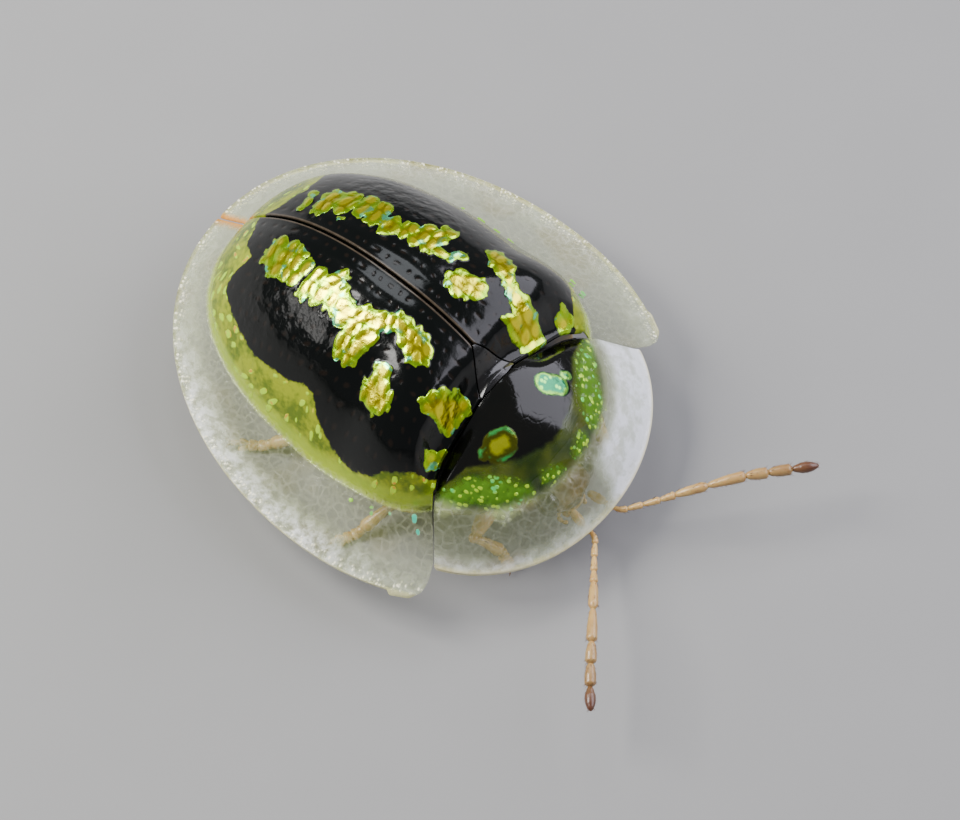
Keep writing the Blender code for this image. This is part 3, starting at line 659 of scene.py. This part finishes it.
# how far the black of the shield reaches from the middle of its base: (angle from straight ahead, reach)
SHIELD_BASE = 4.36
SHIELD_BLACK = [
    (0, 0.84), (18, 0.81), (35, 0.84), (50, 0.86), (62, 0.92), (72, 0.98), (80, 1.20), (86, 1.42), (180, 1.5),
]


def shield_fields(x, s):
    side = np.abs(x)
    speckles = own_strokes(x, s, SPECKLE_LEFT, SPECKLE_RIGHT)
    speckles = np.minimum(speckles, stroke_distance(side, s, SPECKLE_FRONT))
    angle = np.degrees(np.arctan2(side, s - SHIELD_BASE))
    black = np.hypot(x, s - SHIELD_BASE) - np.interp(angle, *np.array(SHIELD_BLACK).T)
    spots = own_strokes(x, s, SPOT_LEFT, SPOT_RIGHT)
    return {"spots": spots, "speckles": speckles, "black": black, "share": shield_share(x, s)}


def shield_relief(x, s):
    share = shield_share(x, s)
    groove = -0.022 * np.exp(-(((share - 0.70) / 0.03) ** 2)) * smooth(s, 4.6, 5.0)
    bead = 0.016 * np.exp(-(((share - 0.985) / 0.018) ** 2))
    spots = shield_fields(x, s)
    pits = np.exp(-((dot_distance(x / 0.12 + 40, s / 0.11) / 0.03) ** 2))
    speckled = smooth(-spots["speckles"], -0.05, 0.05)
    lobe = -0.05 * smooth(s, 4.62, 4.40) * smooth(np.abs(x), 0.35, 0.75)
    return groove + bead + lobe - 0.012 * pits * speckled + 0.008 * smooth(-spots["spots"], -0.03, 0.05)


def shield_paint():
    paint = Paint("neck_shield", Coat_Weight=0.22, Coat_Roughness=0.06, Specular_IOR_Level=0.24, IOR=1.5)
    spots, speckles = paint.field("spots"), paint.field("speckles")
    black_away, share = paint.field("black"), paint.field("share")
    fine, coarse, middling = paint.noise(13.0, 4.0), paint.noise(3.2, 2.0), paint.noise(6.0, 2.0)
    ragged = fine - 0.5
    across = paint.across()
    left = across.smooth(-0.05, 0.05)
    on_black = 1 - (black_away + ragged * 0.05).smooth(-0.03, 0.06)
    on_spot = 1 - (spots + ragged * 0.05).smooth(-0.015, 0.02)
    rim_of_spot = on_spot * (spots + ragged * 0.07).smooth(-0.05, -0.01)
    black = paint.mix(coarse, (0.0008, 0.0014, 0.0009), (0.004, 0.0035, 0.002))
    core = 1 - (spots + ragged * 0.08).smooth(-0.115, -0.06)
    right_spot = paint.mix(rim_of_spot * middling.smooth(0.40, 0.55), (0.10, 0.11, 0.006), (0.06, 0.60, 0.12))
    right_spot = paint.mix(core * 0.9, right_spot, (0.62, 0.66, 0.015))
    left_spot = paint.mix(paint.cells(12.0).smooth(0.15, 0.4), (0.26, 0.80, 0.14), (0.015, 0.22, 0.09))
    left_spot = paint.mix(rim_of_spot * 0.7, left_spot, (0.30, 0.62, 0.03))
    spot = paint.mix(left, right_spot, left_spot)
    stretched = {0: paint.place(), 1: (1.0, 0.7, 1.0)}
    stretched = paint.node("ShaderNodeVectorMath", "Vector", {"operation": "MULTIPLY"}, stretched)
    cell = paint.cells(14.0, vector=stretched)
    near = 1 - (speckles + ragged * 0.08).smooth(-0.02, 0.06)
    bright = (1 - (cell + ragged * 0.5).smooth(0.22, 0.40)) * near
    olive = paint.mix(coarse.smooth(0.3, 0.7), (0.020, 0.045, 0.008), (0.10, 0.13, 0.010))
    band = 1 - (speckles + ragged * 0.1).smooth(-0.06, 0.08)
    olive = paint.mix(band * 0.8, olive, (0.09, 0.24, 0.010))
    lime = paint.mix(coarse.smooth(0.45, 0.6), (0.62, 1.0, 0.03), (0.12, 0.95, 0.20))
    olive = paint.mix(bright, olive, lime)
    net = paint.cells(8.0, "DISTANCE_TO_EDGE").smooth(0.0, 0.14)
    cloud = paint.noise(1.8, 3.0)
    streaks = paint.noise(7.0, 4.0).smooth(0.36, 0.64)
    # painted reflection: a whitish glare over the left part of the flange and whitish streaks near the rim
    glare = across.smooth(0.15, 0.50) * share.smooth(0.72, 0.79)
    painted_reflection = share.smooth(0.90, 0.97) * 0.6 * (streaks * 0.6 + 0.4)
    painted_reflection = (painted_reflection + glare * (streaks * 0.35 + 0.65)).least(1.0)
    clear = paint.mix(cloud.smooth(0.48, 0.66), (0.52, 0.60, 0.26), (0.36, 0.34, 0.12))
    clear = paint.mix((1 - net) * 0.3, clear, (0.84, 0.86, 0.78))
    clear = paint.mix(painted_reflection, clear, (0.92, 0.95, 0.97))
    rim_line = share.smooth(0.972, 0.988)
    clear = paint.mix(rim_line * 0.7, clear, (0.70, 0.62, 0.30))
    on_disc = 1 - (share + ragged * 0.02).smooth(0.66, 0.74)
    colour = paint.mix(on_disc, clear, olive)
    colour = paint.mix(on_black, colour, black)
    colour = paint.mix(on_spot, colour, spot)
    see = painted_reflection * 0.68 + (1 - net) * 0.06 + rim_line * 0.45
    see = see + paint.facing(0.35) * 0.12 + cloud.smooth(0.5, 0.75) * 0.08
    solid = (on_black + on_spot + bright + on_disc * 0.42 + band * 0.35).least(1.0)
    alpha = (solid + see + 0.08).least(1.0)
    metal = (on_spot * 0.8 + bright * (1 - on_black) * 0.5).least(1.0)
    paint.link(Base_Color=colour, Metallic=metal, Alpha=alpha, Roughness=0.09 + on_spot * 0.14 + fine * 0.04)
    grain = fine * 0.15 + net * 0.10 + bright * 0.8 + paint.cells(9.0) * on_spot + streaks * painted_reflection * 0.5
    paint.bump(grain, 0.008, 0.7)
    return paint.material


def make_shield(material):
    loop = outline_loop(shield_corners(), PLATE_POINTS, 0.07)

    def thickness(x, s):
        return 0.045 + 0.045 * smooth(0.70 - shield_share(x, s), 0.0, 0.2)

    piece = shell_plate(
        "neck_shield", loop, (0.0, 5.0), PLATE_RINGS, shield_rise, shield_relief, thickness,
        material, shield_fields,
    )
    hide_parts("pronotum")


def dark_paint(name, first, second, rough, scale=9.0):
    paint = Paint(name, Coat_Weight=0.3, Coat_Roughness=0.12, Specular_IOR_Level=0.5)
    coarse, fine = paint.noise(scale / 3), paint.noise(scale * 2, 4.0)
    pits = paint.cells(scale).smooth(0.10, 0.30)
    paint.link(Base_Color=paint.mix(coarse.smooth(0.3, 0.7), first, second), Roughness=fine * 0.2 + rough)
    paint.bump(pits + fine * 0.3, 0.006, 0.7)
    return paint.material


def make_scutellum(material):
    corners = [(0.0, 3.95), (0.31, 4.345), (0.0, 4.37), (-0.31, 4.345)]
    loop = outline_loop(corners, 160, 0.05)
    piece = shell_plate(
        "scutellum_plate", loop, (0.0, 4.24), 24, elytra_rise,
        lambda x, s: -0.012 + 0.022 * np.cos(np.clip(x / 0.2, -1.5, 1.5)),
        lambda x, s: 0.09 + 0 * x, material, lambda x, s: {},
    )
    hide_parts("scutellum")


# ---- small parts made of turned and bent lengths ----
class Build:
    """Gathers closed forms, given in x, s and z, into one mesh."""

    def __init__(self):
        self.points, self.faces, self.shades = [], [], []
        self.count = 0

    def add(self, points, faces, shade):
        points = np.asarray(points, float)
        self.points.append(points)
        self.faces += [tuple(int(i) + self.count for i in face) for face in faces]
        self.shades.append(np.broadcast_to(shade, len(points)))
        self.count += len(points)

    def tube(self, line, radii, sides=14, wide=1.0, shade=0.0):
        """A closed tube; wide stretches it sideways."""
        line = np.asarray(line, float)
        ahead = np.gradient(line, axis=0)
        ahead /= np.linalg.norm(ahead, axis=1)[:, None] + 1e-12
        across = np.cross(ahead, (0.0, 0.0, 1.0))
        across /= np.linalg.norm(across, axis=1)[:, None] + 1e-12
        over = np.cross(across, ahead)
        angles = np.linspace(0, 2 * math.pi, sides, endpoint=False)
        radii = np.asarray(radii, float)[:, None, None]
        wide = np.broadcast_to(wide, len(line))[:, None, None]
        rings = (
            line[:, None]
            + across[:, None] * np.cos(angles)[None, :, None] * radii * wide
            + over[:, None] * np.sin(angles)[None, :, None] * radii
        )
        shade = np.repeat(np.broadcast_to(shade, len(line)), sides)
        self.add(rings.reshape(-1, 3), capped_faces(len(line), sides), shade)

    def ball(self, centre, radii, shape=None, rings=28, sides=40, shade=0.0):
        """An egg with radii along x, s and z; shape may move its unit points."""
        down, around = np.meshgrid(
            np.linspace(0.02, math.pi - 0.02, rings),
            np.linspace(0, 2 * math.pi, sides, endpoint=False), indexing="ij",
        )
        unit = np.stack([np.sin(down) * np.cos(around), np.sin(down) * np.sin(around), np.cos(down)], axis=-1)
        unit = unit.reshape(-1, 3)
        points = (shape(unit) if shape else unit) * np.asarray(radii) + np.asarray(centre)
        self.add(points, capped_faces(rings, sides), shade)

    def hair(self, root, tip, radius):
        root, tip = np.asarray(root, float), np.asarray(tip, float)
        middle = (root + tip) / 2 + np.array([0, 0, -0.06]) * np.linalg.norm(tip - root)
        self.tube([root, middle, tip], [radius, radius * 0.7, radius * 0.12], sides=5, shade=1.0)

    def finish(self, name, material):
        points = to_world(*np.concatenate(self.points).T)
        piece = make_mesh(name, points, self.faces, material)
        fix_normals(piece)
        set_field(piece, "shade", np.concatenate(self.shades))
        return piece


def curve_through(points, count):
    """Evenly numbered points on a smooth curve through the given ones."""
    points = np.asarray(points, float)
    ends = np.concatenate([[2 * points[0] - points[1]], points, [2 * points[-1] - points[-2]]])
    spots = np.linspace(0, len(points) - 1, count)
    k = np.minimum(spots.astype(int), len(points) - 2)
    u = (spots - k)[:, None]
    a, b, c, d = ends[k], ends[k + 1], ends[k + 2], ends[k + 3]
    return 0.5 * (2 * b + (c - a) * u + (2 * a - 5 * b + 4 * c - d) * u**2 + (3 * b - a - 3 * c + d) * u**3)


def bead(line, start, end, widths, steps):
    """A stretch of a line with the given radii spread along it, its ends rounded."""
    t = np.linspace(0, 1, steps)
    spots = (start + (end - start) * t) * (len(line) - 1)
    points = np.stack([np.interp(spots, np.arange(len(line)), line[:, k]) for k in range(3)], axis=1)
    radii = np.interp(t, np.linspace(0, 1, len(widths)), widths)
    round_ends = np.sqrt(np.clip(np.minimum(t, 1 - t) / 0.12, 0.02, 1))
    return points, radii * round_ends


def sideways(chance, ahead):
    """A chance direction at right angles to a unit one."""
    out = chance.normal(size=3)
    out -= ahead * out.dot(ahead)
    return out / np.linalg.norm(out)


def limb_paint(name, pale, dark, tip):
    soft = {"Subsurface_Weight": 0.12, "Subsurface_Scale": 0.1 * MM}
    paint = Paint(name, Coat_Weight=0.25, Coat_Roughness=0.15, **soft)
    shade, coarse, fine = paint.field("shade"), paint.noise(4.0), paint.noise(22.0, 4.0)
    colour = paint.mix(coarse.smooth(0.35, 0.7), pale, dark)
    colour = paint.mix(shade, colour, tip)
    paint.link(Base_Color=colour, Roughness=fine * 0.25 + 0.22)
    paint.bump(fine + paint.cells(24.0) * 0.6, 0.003, 0.6)
    return paint.material


# ---- feelers ----
FEELER_ROUTE = [
    (0.15, 5.60, 0.60), (0.19, 5.80, 0.565), (0.23, 6.02, 0.575), (0.40, 6.17, 0.61), (0.61, 6.34, 0.68),
    (0.84, 6.53, 0.79), (1.315, 6.906, 0.92), (1.60, 7.13, 0.91), (1.87, 7.35, 0.89), (2.06, 7.52, 0.90),
]
# share of the length, radius at the root, at the middle and at the end, and how dark
FEELER_SEGMENTS = [
    (1.50, 0.045, 0.058, 0.052, 0.05), (0.75, 0.034, 0.045, 0.042, 0.05), (1.00, 0.028, 0.036, 0.040, 0.05),
    (1.00, 0.028, 0.037, 0.041, 0.08), (1.00, 0.029, 0.038, 0.044, 0.10), (0.90, 0.031, 0.043, 0.050, 0.14),
    (1.05, 0.040, 0.056, 0.062, 0.25), (1.05, 0.046, 0.064, 0.067, 0.35), (1.05, 0.048, 0.068, 0.070, 0.45),
    (1.05, 0.049, 0.069, 0.069, 0.60), (1.60, 0.048, 0.066, 0.015, 0.95),
]


FEELER_STEPS = 400
CLUB_START, FEW_HAIRS, MANY_HAIRS = 6, 10, 46


def make_feeler(side, word, material):
    line = curve_through([(side * x, s, z) for x, s, z in FEELER_ROUTE], FEELER_STEPS)
    last = FEELER_STEPS - 1
    whole = sum(segment[0] for segment in FEELER_SEGMENTS)
    build = Build()
    done = 0.0
    chance = np.random.default_rng(7)
    for number, (length, root, middle, end, dark) in enumerate(FEELER_SEGMENTS):
        start, stop = done / whole, (done + length) / whole
        widths = [root * 0.75, root, (root + middle) / 2, middle, middle, end, end * 0.8]
        if number == len(FEELER_SEGMENTS) - 1:
            widths = [root * 0.75, root, middle, middle, middle * 0.9, middle * 0.62, end]
        points, radii = bead(line, start - 0.004, stop + 0.004, widths, 22)
        build.tube(points, radii, 18, shade=dark + np.linspace(-0.06, 0.10, 22))
        for _ in range(FEW_HAIRS if number < CLUB_START else MANY_HAIRS):
            spot = start + (stop - start) * chance.uniform(0.1, 0.98)
            here = int(spot * last)
            ahead = line[min(here + 3, last)] - line[max(here - 3, 0)]
            ahead /= np.linalg.norm(ahead)
            out = sideways(chance, ahead)
            radius = np.interp(spot, [start, (start + stop) / 2, stop], [root, middle, end])
            root_at = line[here] + out * radius * 0.8
            build.hair(root_at, root_at + out * 0.030 + ahead * 0.040, 0.0028)
        done += length
    piece = build.finish(f"feeler_{word}", material)
    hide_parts(f"antenna_{word}")


# ---- legs ----
# (distance from the midline, station, height) of the hip, knee, ankle and toe
LEGS = {
    "front": [(0.34, 4.74, 0.46), (1.10, 4.92, 0.42), (0.92, 5.20, 0.13), (0.98, 5.40, 0.05)],
    "middle": [(0.50, 4.02, 0.46), (1.26, 3.95, 0.42), (1.78, 3.76, 0.13), (2.14, 3.58, 0.05)],
    "hind": [(0.54, 3.12, 0.46), (1.26, 2.70, 0.42), (1.64, 2.22, 0.13), (1.92, 1.84, 0.05)],
}


LIMB_STEPS = 40
FLOOR_GAP = 0.012  # hairs that would come nearer to the floor are left out


def make_leg(name, stops, side, material):
    hip, knee, ankle, toe = (np.array([side * x, s, z]) for x, s, z in stops)
    build = Build()
    chance = np.random.default_rng(11)
    build.ball(hip + (0, 0, 0.03), (0.17, 0.15, 0.15), shade=0.30)
    joint = hip + (knee - hip) * 0.16
    build.ball(joint, (0.10, 0.10, 0.09), rings=16, sides=24, shade=0.12)
    thigh = curve_through([joint, (joint + knee) / 2 + (0, 0, 0.02), knee], LIMB_STEPS)
    points, radii = bead(thigh, 0.0, 1.0, [0.055, 0.095, 0.125, 0.135, 0.125, 0.10, 0.072], 30)
    build.tube(points, radii, 20, wide=0.85, shade=np.linspace(0.20, 0.0, 30))
    build.ball(knee, (0.066, 0.066, 0.060), rings=14, sides=20, shade=0.25)
    shin = curve_through([knee, (knee + ankle) / 2 + (0, 0, 0.025), ankle], LIMB_STEPS)
    points, radii = bead(shin, 0.0, 1.0, [0.048, 0.052, 0.056, 0.062, 0.070, 0.082, 0.086], 30)
    build.tube(points, radii, 18, shade=0.04)
    along = (toe - ankle) * (1, 1, 0)
    length = np.linalg.norm(along)
    along /= length
    across = np.array([along[1], -along[0], 0])
    flat_ankle = ankle * (1, 1, 0)
    # each foot: two short pads, a broad two-lobed one, then the claw joint rising from between the lobes
    build.ball(ankle - (0, 0, 0.012), (0.062, 0.062, 0.056), rings=14, sides=20, shade=0.10)
    for start, stop, high, width in ((-0.04, 0.30, 0.085, 0.076), (0.25, 0.54, 0.056, 0.078)):
        heel = flat_ankle + along * length * start + (0, 0, high)
        line = curve_through([heel, flat_ankle + along * length * stop + (0, 0, 0.054)], 12)
        points, radii = bead(line, 0, 1, [width * 0.7, width * 0.9, width, width], 14)
        build.tube(points, radii * 0.62, 16, wide=1.55, shade=0.06)
    for lobe in (-1, 1):
        root = flat_ankle + along * length * 0.48 + (0, 0, 0.045)
        tip = root + along * length * 0.30 + across * lobe * 0.062 - (0, 0, 0.006)
        points, radii = bead(np.linspace(root, tip, 20), 0, 1, [0.030, 0.040, 0.044, 0.042, 0.030], 14)
        build.tube(points, radii * 0.85, 14, wide=1.2, shade=0.04)
    root = flat_ankle + along * length * 0.58 + (0, 0, 0.070)
    tip = flat_ankle + along * length * 0.98 + (0, 0, 0.092)
    line = curve_through([root, (root + tip) / 2 + (0, 0, 0.02), tip], 20)
    points, radii = bead(line, 0, 1, [0.022, 0.026, 0.034, 0.044], 14)
    build.tube(points, radii, 14, shade=0.10)
    for claw in (-1, 1):
        hook = [
            tip - along * 0.01, tip + along * 0.030 + across * claw * 0.040,
            tip + along * 0.062 + across * claw * 0.062 - (0, 0, 0.028),
            tip + along * 0.062 + across * claw * 0.074 - (0, 0, 0.080),
        ]
        build.tube(curve_through(hook, 14), np.linspace(0.017, 0.002, 14), 10, shade=0.85)
    last = LIMB_STEPS - 1
    for line, width, hairs, first in ((thigh, 0.10, 18, 0.0), (shin, 0.065, 46, 0.25)):
        for _ in range(hairs):
            spot = int(chance.uniform(first, 0.98) * last)
            ahead = line[min(spot + 1, last)] - line[max(spot - 1, 0)]
            ahead /= np.linalg.norm(ahead)
            out = sideways(chance, ahead)
            root_at = line[spot] + out * width * 0.8
            hair_tip = root_at + out * 0.03 + ahead * 0.055
            if hair_tip[2] > FLOOR_GAP:
                build.hair(root_at, hair_tip, 0.003)
    piece = build.finish(f"limb_{name}", material)
    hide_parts(f"leg_{name}")


# ---- head ----
HEAD_CENTRE, HEAD_RADII = (0.0, 5.37, 0.69), (0.36, 0.255, 0.345)


def head_shape(unit):
    """A broad face that narrows to the mouth, with a raised wedge between the feeler sockets."""
    x, s, z = unit.T
    narrow = 1 - 0.26 * smooth(-z, 0.1, 1.0)
    flat = 1 - 0.10 * smooth(s, 0.4, 1.0)
    wedge = 0.10 * np.exp(-((x / (0.10 + 0.28 * smooth(-z, -0.1, 0.8))) ** 2))
    wedge = wedge * smooth(s, 0.2, 0.8) * smooth(0.35 - z, 0, 0.35)
    groove = -0.05 * np.exp(-((x / 0.05) ** 2)) * smooth(z, 0.15, 0.5) * smooth(s, 0.0, 0.6)
    sockets = sum(-0.13 * np.exp(-(((x - k * 0.40) ** 2 + (z + 0.10) ** 2) / 0.020)) for k in (-1, 1))
    sockets = sockets * smooth(s, 0.3, 0.8)
    return np.stack([x * narrow, s * flat + wedge + groove + sockets, z], axis=1)


def make_head(dark, pale, glossy):
    build = Build()
    build.ball(HEAD_CENTRE, HEAD_RADII, head_shape, rings=90, sides=140)
    piece = build.finish("face", dark)
    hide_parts("head")
    for side, word in SIDES:
        eye = Build()

        def kidney(unit, side=side):
            x, s, z = unit.T
            notch = 0.22 * np.exp(-(((z + 0.1) / 0.35) ** 2)) * smooth(s, 0.1, 0.9)
            return np.stack([x, s - notch, z], axis=1)

        eye.ball((side * 0.315, 5.385, 0.745), (0.125, 0.165, 0.235), kidney, rings=70, sides=90)
        piece = eye.finish(f"eye_ball_{word}", glossy)
        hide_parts(f"eye_{word}")
    mouth = Build()
    mouth.ball((0, 5.535, 0.375), (0.15, 0.045, 0.055), rings=24, sides=36, shade=0.1)
    for side in (1, -1):
        jaw = [(side * 0.12, 5.47, 0.36), (side * 0.115, 5.52, 0.29), (side * 0.02, 5.535, 0.235)]
        jaw = curve_through(jaw, 20)
        mouth.tube(jaw, np.linspace(0.055, 0.012, 20), 14, shade=np.linspace(0.2, 1.0, 20))
        palp = [(0.14, 5.42, 0.36), (0.20, 5.46, 0.27), (0.19, 5.52, 0.21), (0.15, 5.56, 0.19)]
        palp = curve_through([(side * x, s, z) for x, s, z in palp], 60)
        for start, stop, width in ((0.0, 0.3, 0.024), (0.28, 0.62, 0.028), (0.60, 1.0, 0.026)):
            points, radii = bead(palp, start, stop, [width * 0.7, width, width, width * 0.6], 14)
            mouth.tube(points, radii, 12, shade=0.15)
        lower = [(side * 0.05, 5.44, 0.33), (side * 0.07, 5.49, 0.25), (side * 0.05, 5.53, 0.20)]
        lower = curve_through(lower, 30)
        points, radii = bead(lower, 0, 1, [0.016, 0.022, 0.020, 0.012], 14)
        mouth.tube(points, radii, 12, shade=0.15)
    mouth.ball((0, 5.42, 0.33), (0.12, 0.08, 0.06), rings=20, sides=30, shade=0.3)
    piece = mouth.finish("jaws_and_palps", pale)
    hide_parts("mouthparts")


# ---- underside ----
def belly_low(x, s):
    return 0.58 + 0.16 * (x / DISC[0]) ** 2


BELLY_PLATES = [0.98, 1.36, 1.74, 2.16, 2.74]  # stations where the plates of the abdomen end
BELLY_FRONT = 4.30


def belly_relief(x, s):
    """Plates of the underside: five on the abdomen, then the breast with a groove along its middle."""
    relief = 0 * x
    bow = s + 0.10 * (x / 1.2) ** 2
    for edge in BELLY_PLATES:
        slope = smooth(bow, edge - 0.22, edge - 0.01) * (1 - smooth(bow, edge - 0.01, edge + 0.02))
        relief = relief + 0.035 * slope
    breast = smooth(bow, 2.74, 2.80)
    relief = relief + breast * 0.03 * np.cos(np.clip(x, -1.4, 1.4))
    relief = relief - breast * 0.022 * np.exp(-((x / 0.03) ** 2))
    relief = relief - 0.05 * np.exp(-(((s - 3.66) / 0.03) ** 2)) * smooth(1.3 - np.abs(x), 0, 0.2)
    for hip_x, hip_s, _ in (LEGS["middle"][0], LEGS["hind"][0]):
        away = ((np.abs(x) - hip_x) / 0.20) ** 2 + ((s - hip_s) / 0.17) ** 2
        relief = relief - 0.10 * np.exp(-(away**2))
    return relief


def belly_block(name, loop, hub, rings, high, low, roundness, material, nodes):
    """A closed form between a low and a high surface over a plan outline, with a rounded side."""
    spread = np.sin(np.linspace(0, 1, rings + 1)[1:] * math.pi / 2)
    x, s = plan_points(loop, hub, spread)
    inward = np.r_[1.0, np.repeat(1 - spread, len(loop))]
    turn = np.clip(inward / roundness, 0, 1)
    near = np.sqrt(turn * (2 - turn))
    bottom = low(x, s)
    top = np.maximum(high(x, s), bottom + 0.06)
    middle = np.minimum((bottom + top) / 2, bottom + 0.10)
    tops = to_world(x, s, middle + (top - middle) * near)
    bottoms = to_world(x, s, middle + (bottom - middle) * near)
    faces = two_sided_faces(len(loop), rings)
    piece = make_mesh(name, np.concatenate([tops, bottoms]), faces, material)
    fix_normals(piece)
    set_field(piece, "shade", np.concatenate([smooth(np.abs(x), 1.0, 1.5)] * 2))
    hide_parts(*nodes)


def make_underside(material):
    body = rim_points(DISC, ELYTRA_CENTRE, 0, 150, 120)
    body = [(x * 0.90, min(ELYTRA_CENTRE + (s - ELYTRA_CENTRE) * 0.90, BELLY_FRONT)) for x, s in body]
    corners = body + [(0.0, BELLY_FRONT)] + [(-x, s) for x, s in reversed(body[1:])]
    belly_block(
        "underside", outline_loop(corners, BELLY_POINTS, 0.05), (0.0, 2.8), BELLY_RINGS,
        lambda x, s: RIM_Z + elytra_rise(x, s) - 0.20,
        lambda x, s: belly_low(x, s) - belly_relief(x, s) * 0.6,
        0.07, material, ("abdomen", "thorax"),
    )
    front = [(0.0, 5.04), (0.5, 5.02), (0.92, 4.86), (1.16, 4.62), (1.20, 4.42), (0.6, 4.40), (0.0, 4.40)]
    corners = front + [(-x, s) for x, s in reversed(front[1:-1])]

    def low(x, s):
        keel = 0.07 * np.exp(-((x / 0.10) ** 2))
        around = [((x - k * 0.34) / 0.19) ** 2 + ((s - 4.74) / 0.16) ** 2 for k in (-1, 1)]
        return belly_low(x, s) - 0.02 - keel + sum(0.08 * np.exp(-(away**2)) for away in around)

    belly_block(
        "breast_front", outline_loop(corners, BREAST_POINTS, 0.08), (0.0, 4.7), BREAST_RINGS,
        lambda x, s: RIM_Z + shield_rise(x, s) - 0.20, low, 0.45, material, ("prothorax",),
    )


def belly_paint():
    paint = Paint("underside", Coat_Weight=0.25, Coat_Roughness=0.15)
    shade, coarse, fine = paint.field("shade"), paint.noise(3.0), paint.noise(18.0, 4.0)
    colour = paint.mix(coarse.smooth(0.35, 0.7), (0.018, 0.011, 0.007), (0.045, 0.024, 0.010))
    colour = paint.mix(shade * 0.9, colour, (0.42, 0.26, 0.06))
    pits = paint.cells(10.0).smooth(0.08, 0.28)
    paint.link(Base_Color=colour, Roughness=fine * 0.2 + 0.22)
    paint.bump(pits + fine * 0.4, 0.006, 0.7)
    return paint.material


def eye_paint():
    paint = Paint("eye", Coat_Weight=0.7, Coat_Roughness=0.05, Roughness=0.2)
    facets = paint.cells(46.0)
    paint.link(Base_Color=paint.mix(facets.smooth(0.2, 0.5), (0.008, 0.005, 0.004), (0.022, 0.011, 0.008)))
    paint.bump(1 - facets, 0.006, 0.8)
    return paint.material


# ---- floor, light and camera ----
ELEVATION, HEADING = 65.1, -49.45
FRAME_WIDTH, SENSOR_WIDTH = 11.25, 36
CAMERA_DISTANCE, LIGHT_DISTANCE, FLOOR_SIZE = 150, 40, 400
TARGET = Vector((0.106, LENGTH / 2 - 3.981, RIM_Z)) * MM


def direction(azimuth, elevation):
    """Unit vector at an azimuth, where 0 is in front of the beetle, and an elevation."""
    a, e = math.radians(azimuth), math.radians(elevation)
    return Vector((math.sin(a) * math.cos(e), -math.cos(a) * math.cos(e), math.sin(e)))


def aim(thing, spot, target):
    thing.location = spot
    thing.rotation_euler = (target - spot).to_track_quat("-Z", "Y").to_euler()
    bpy.context.scene.collection.objects.link(thing)


def make_camera():
    lens = bpy.data.cameras.new("camera")
    lens.sensor_width = SENSOR_WIDTH
    lens.lens = SENSOR_WIDTH * CAMERA_DISTANCE / FRAME_WIDTH
    lens.clip_start, lens.clip_end = 0.01, 5
    camera = bpy.data.objects.new("camera", lens)
    aim(camera, TARGET + direction(HEADING, ELEVATION) * CAMERA_DISTANCE * MM, TARGET)
    bpy.context.scene.camera = camera


def soft_light(name, azimuth, elevation, size, power, colour):
    light = bpy.data.lights.new(name, "AREA")
    light.shape = "RECTANGLE"
    light.size, light.size_y = size[0] * MM, size[1] * MM
    light.energy = power
    light.color = colour
    holder = bpy.data.objects.new(name, light)
    aim(holder, TARGET + direction(azimuth, elevation) * LIGHT_DISTANCE * MM, TARGET)


def make_stage():
    paint = Paint("floor", Roughness=0.75)
    speckle = paint.noise(0.6, 4.0)
    paint.link(Base_Color=paint.mix(speckle, (0.26, 0.26, 0.255), (0.28, 0.28, 0.275)))
    size = FLOOR_SIZE * MM
    corners = [(-size, -size, 0), (size, -size, 0), (size, size, 0), (-size, size, 0)]
    mesh = bpy.data.meshes.new("floor")
    mesh.from_pydata(corners, [], [(0, 1, 2, 3)])
    mesh.materials.append(paint.material)
    floor = bpy.data.objects.new("floor", mesh)
    bpy.context.scene.collection.objects.link(floor)
    world = bpy.data.worlds.new("studio")
    bpy.context.scene.world = world
    world.use_nodes = True
    background = world.node_tree.nodes["Background"]
    background.inputs[0].default_value = (0.88, 0.90, 1.0, 1)
    background.inputs[1].default_value = 0.28
    soft_light("key", -150, 50, (18, 21), 0.0260, (1.0, 0.98, 0.94))
    soft_light("low", -138, 23, (20, 8), 0.0024, (1.0, 0.98, 0.95))
    soft_light("sky", 60, 36, (50, 34), 0.0275, (0.89, 0.88, 1.0))
    soft_light("back", 140, 60, (14, 14), 0.0030, (0.90, 0.95, 1.0))


make_stage()
make_camera()
make_wing_cases(elytra_paint())
make_shield(shield_paint())
make_scutellum(dark_paint("black_plate", (0.0015, 0.002, 0.0015), (0.006, 0.005, 0.004), 0.10))
make_underside(belly_paint())
legs = limb_paint("leg", (0.62, 0.42, 0.15), (0.48, 0.30, 0.09), (0.12, 0.045, 0.015))
for pair, stops in LEGS.items():
    for side, word in SIDES:
        make_leg(f"{pair}_{word}", stops, side, legs)
feelers = limb_paint("feeler", (0.72, 0.47, 0.16), (0.60, 0.36, 0.11), (0.10, 0.035, 0.015))
for side, word in SIDES:
    make_feeler(side, word, feelers)
face = dark_paint("face", (0.085, 0.045, 0.014), (0.18, 0.10, 0.025), 0.2, 12.0)
make_head(face, legs, eye_paint())
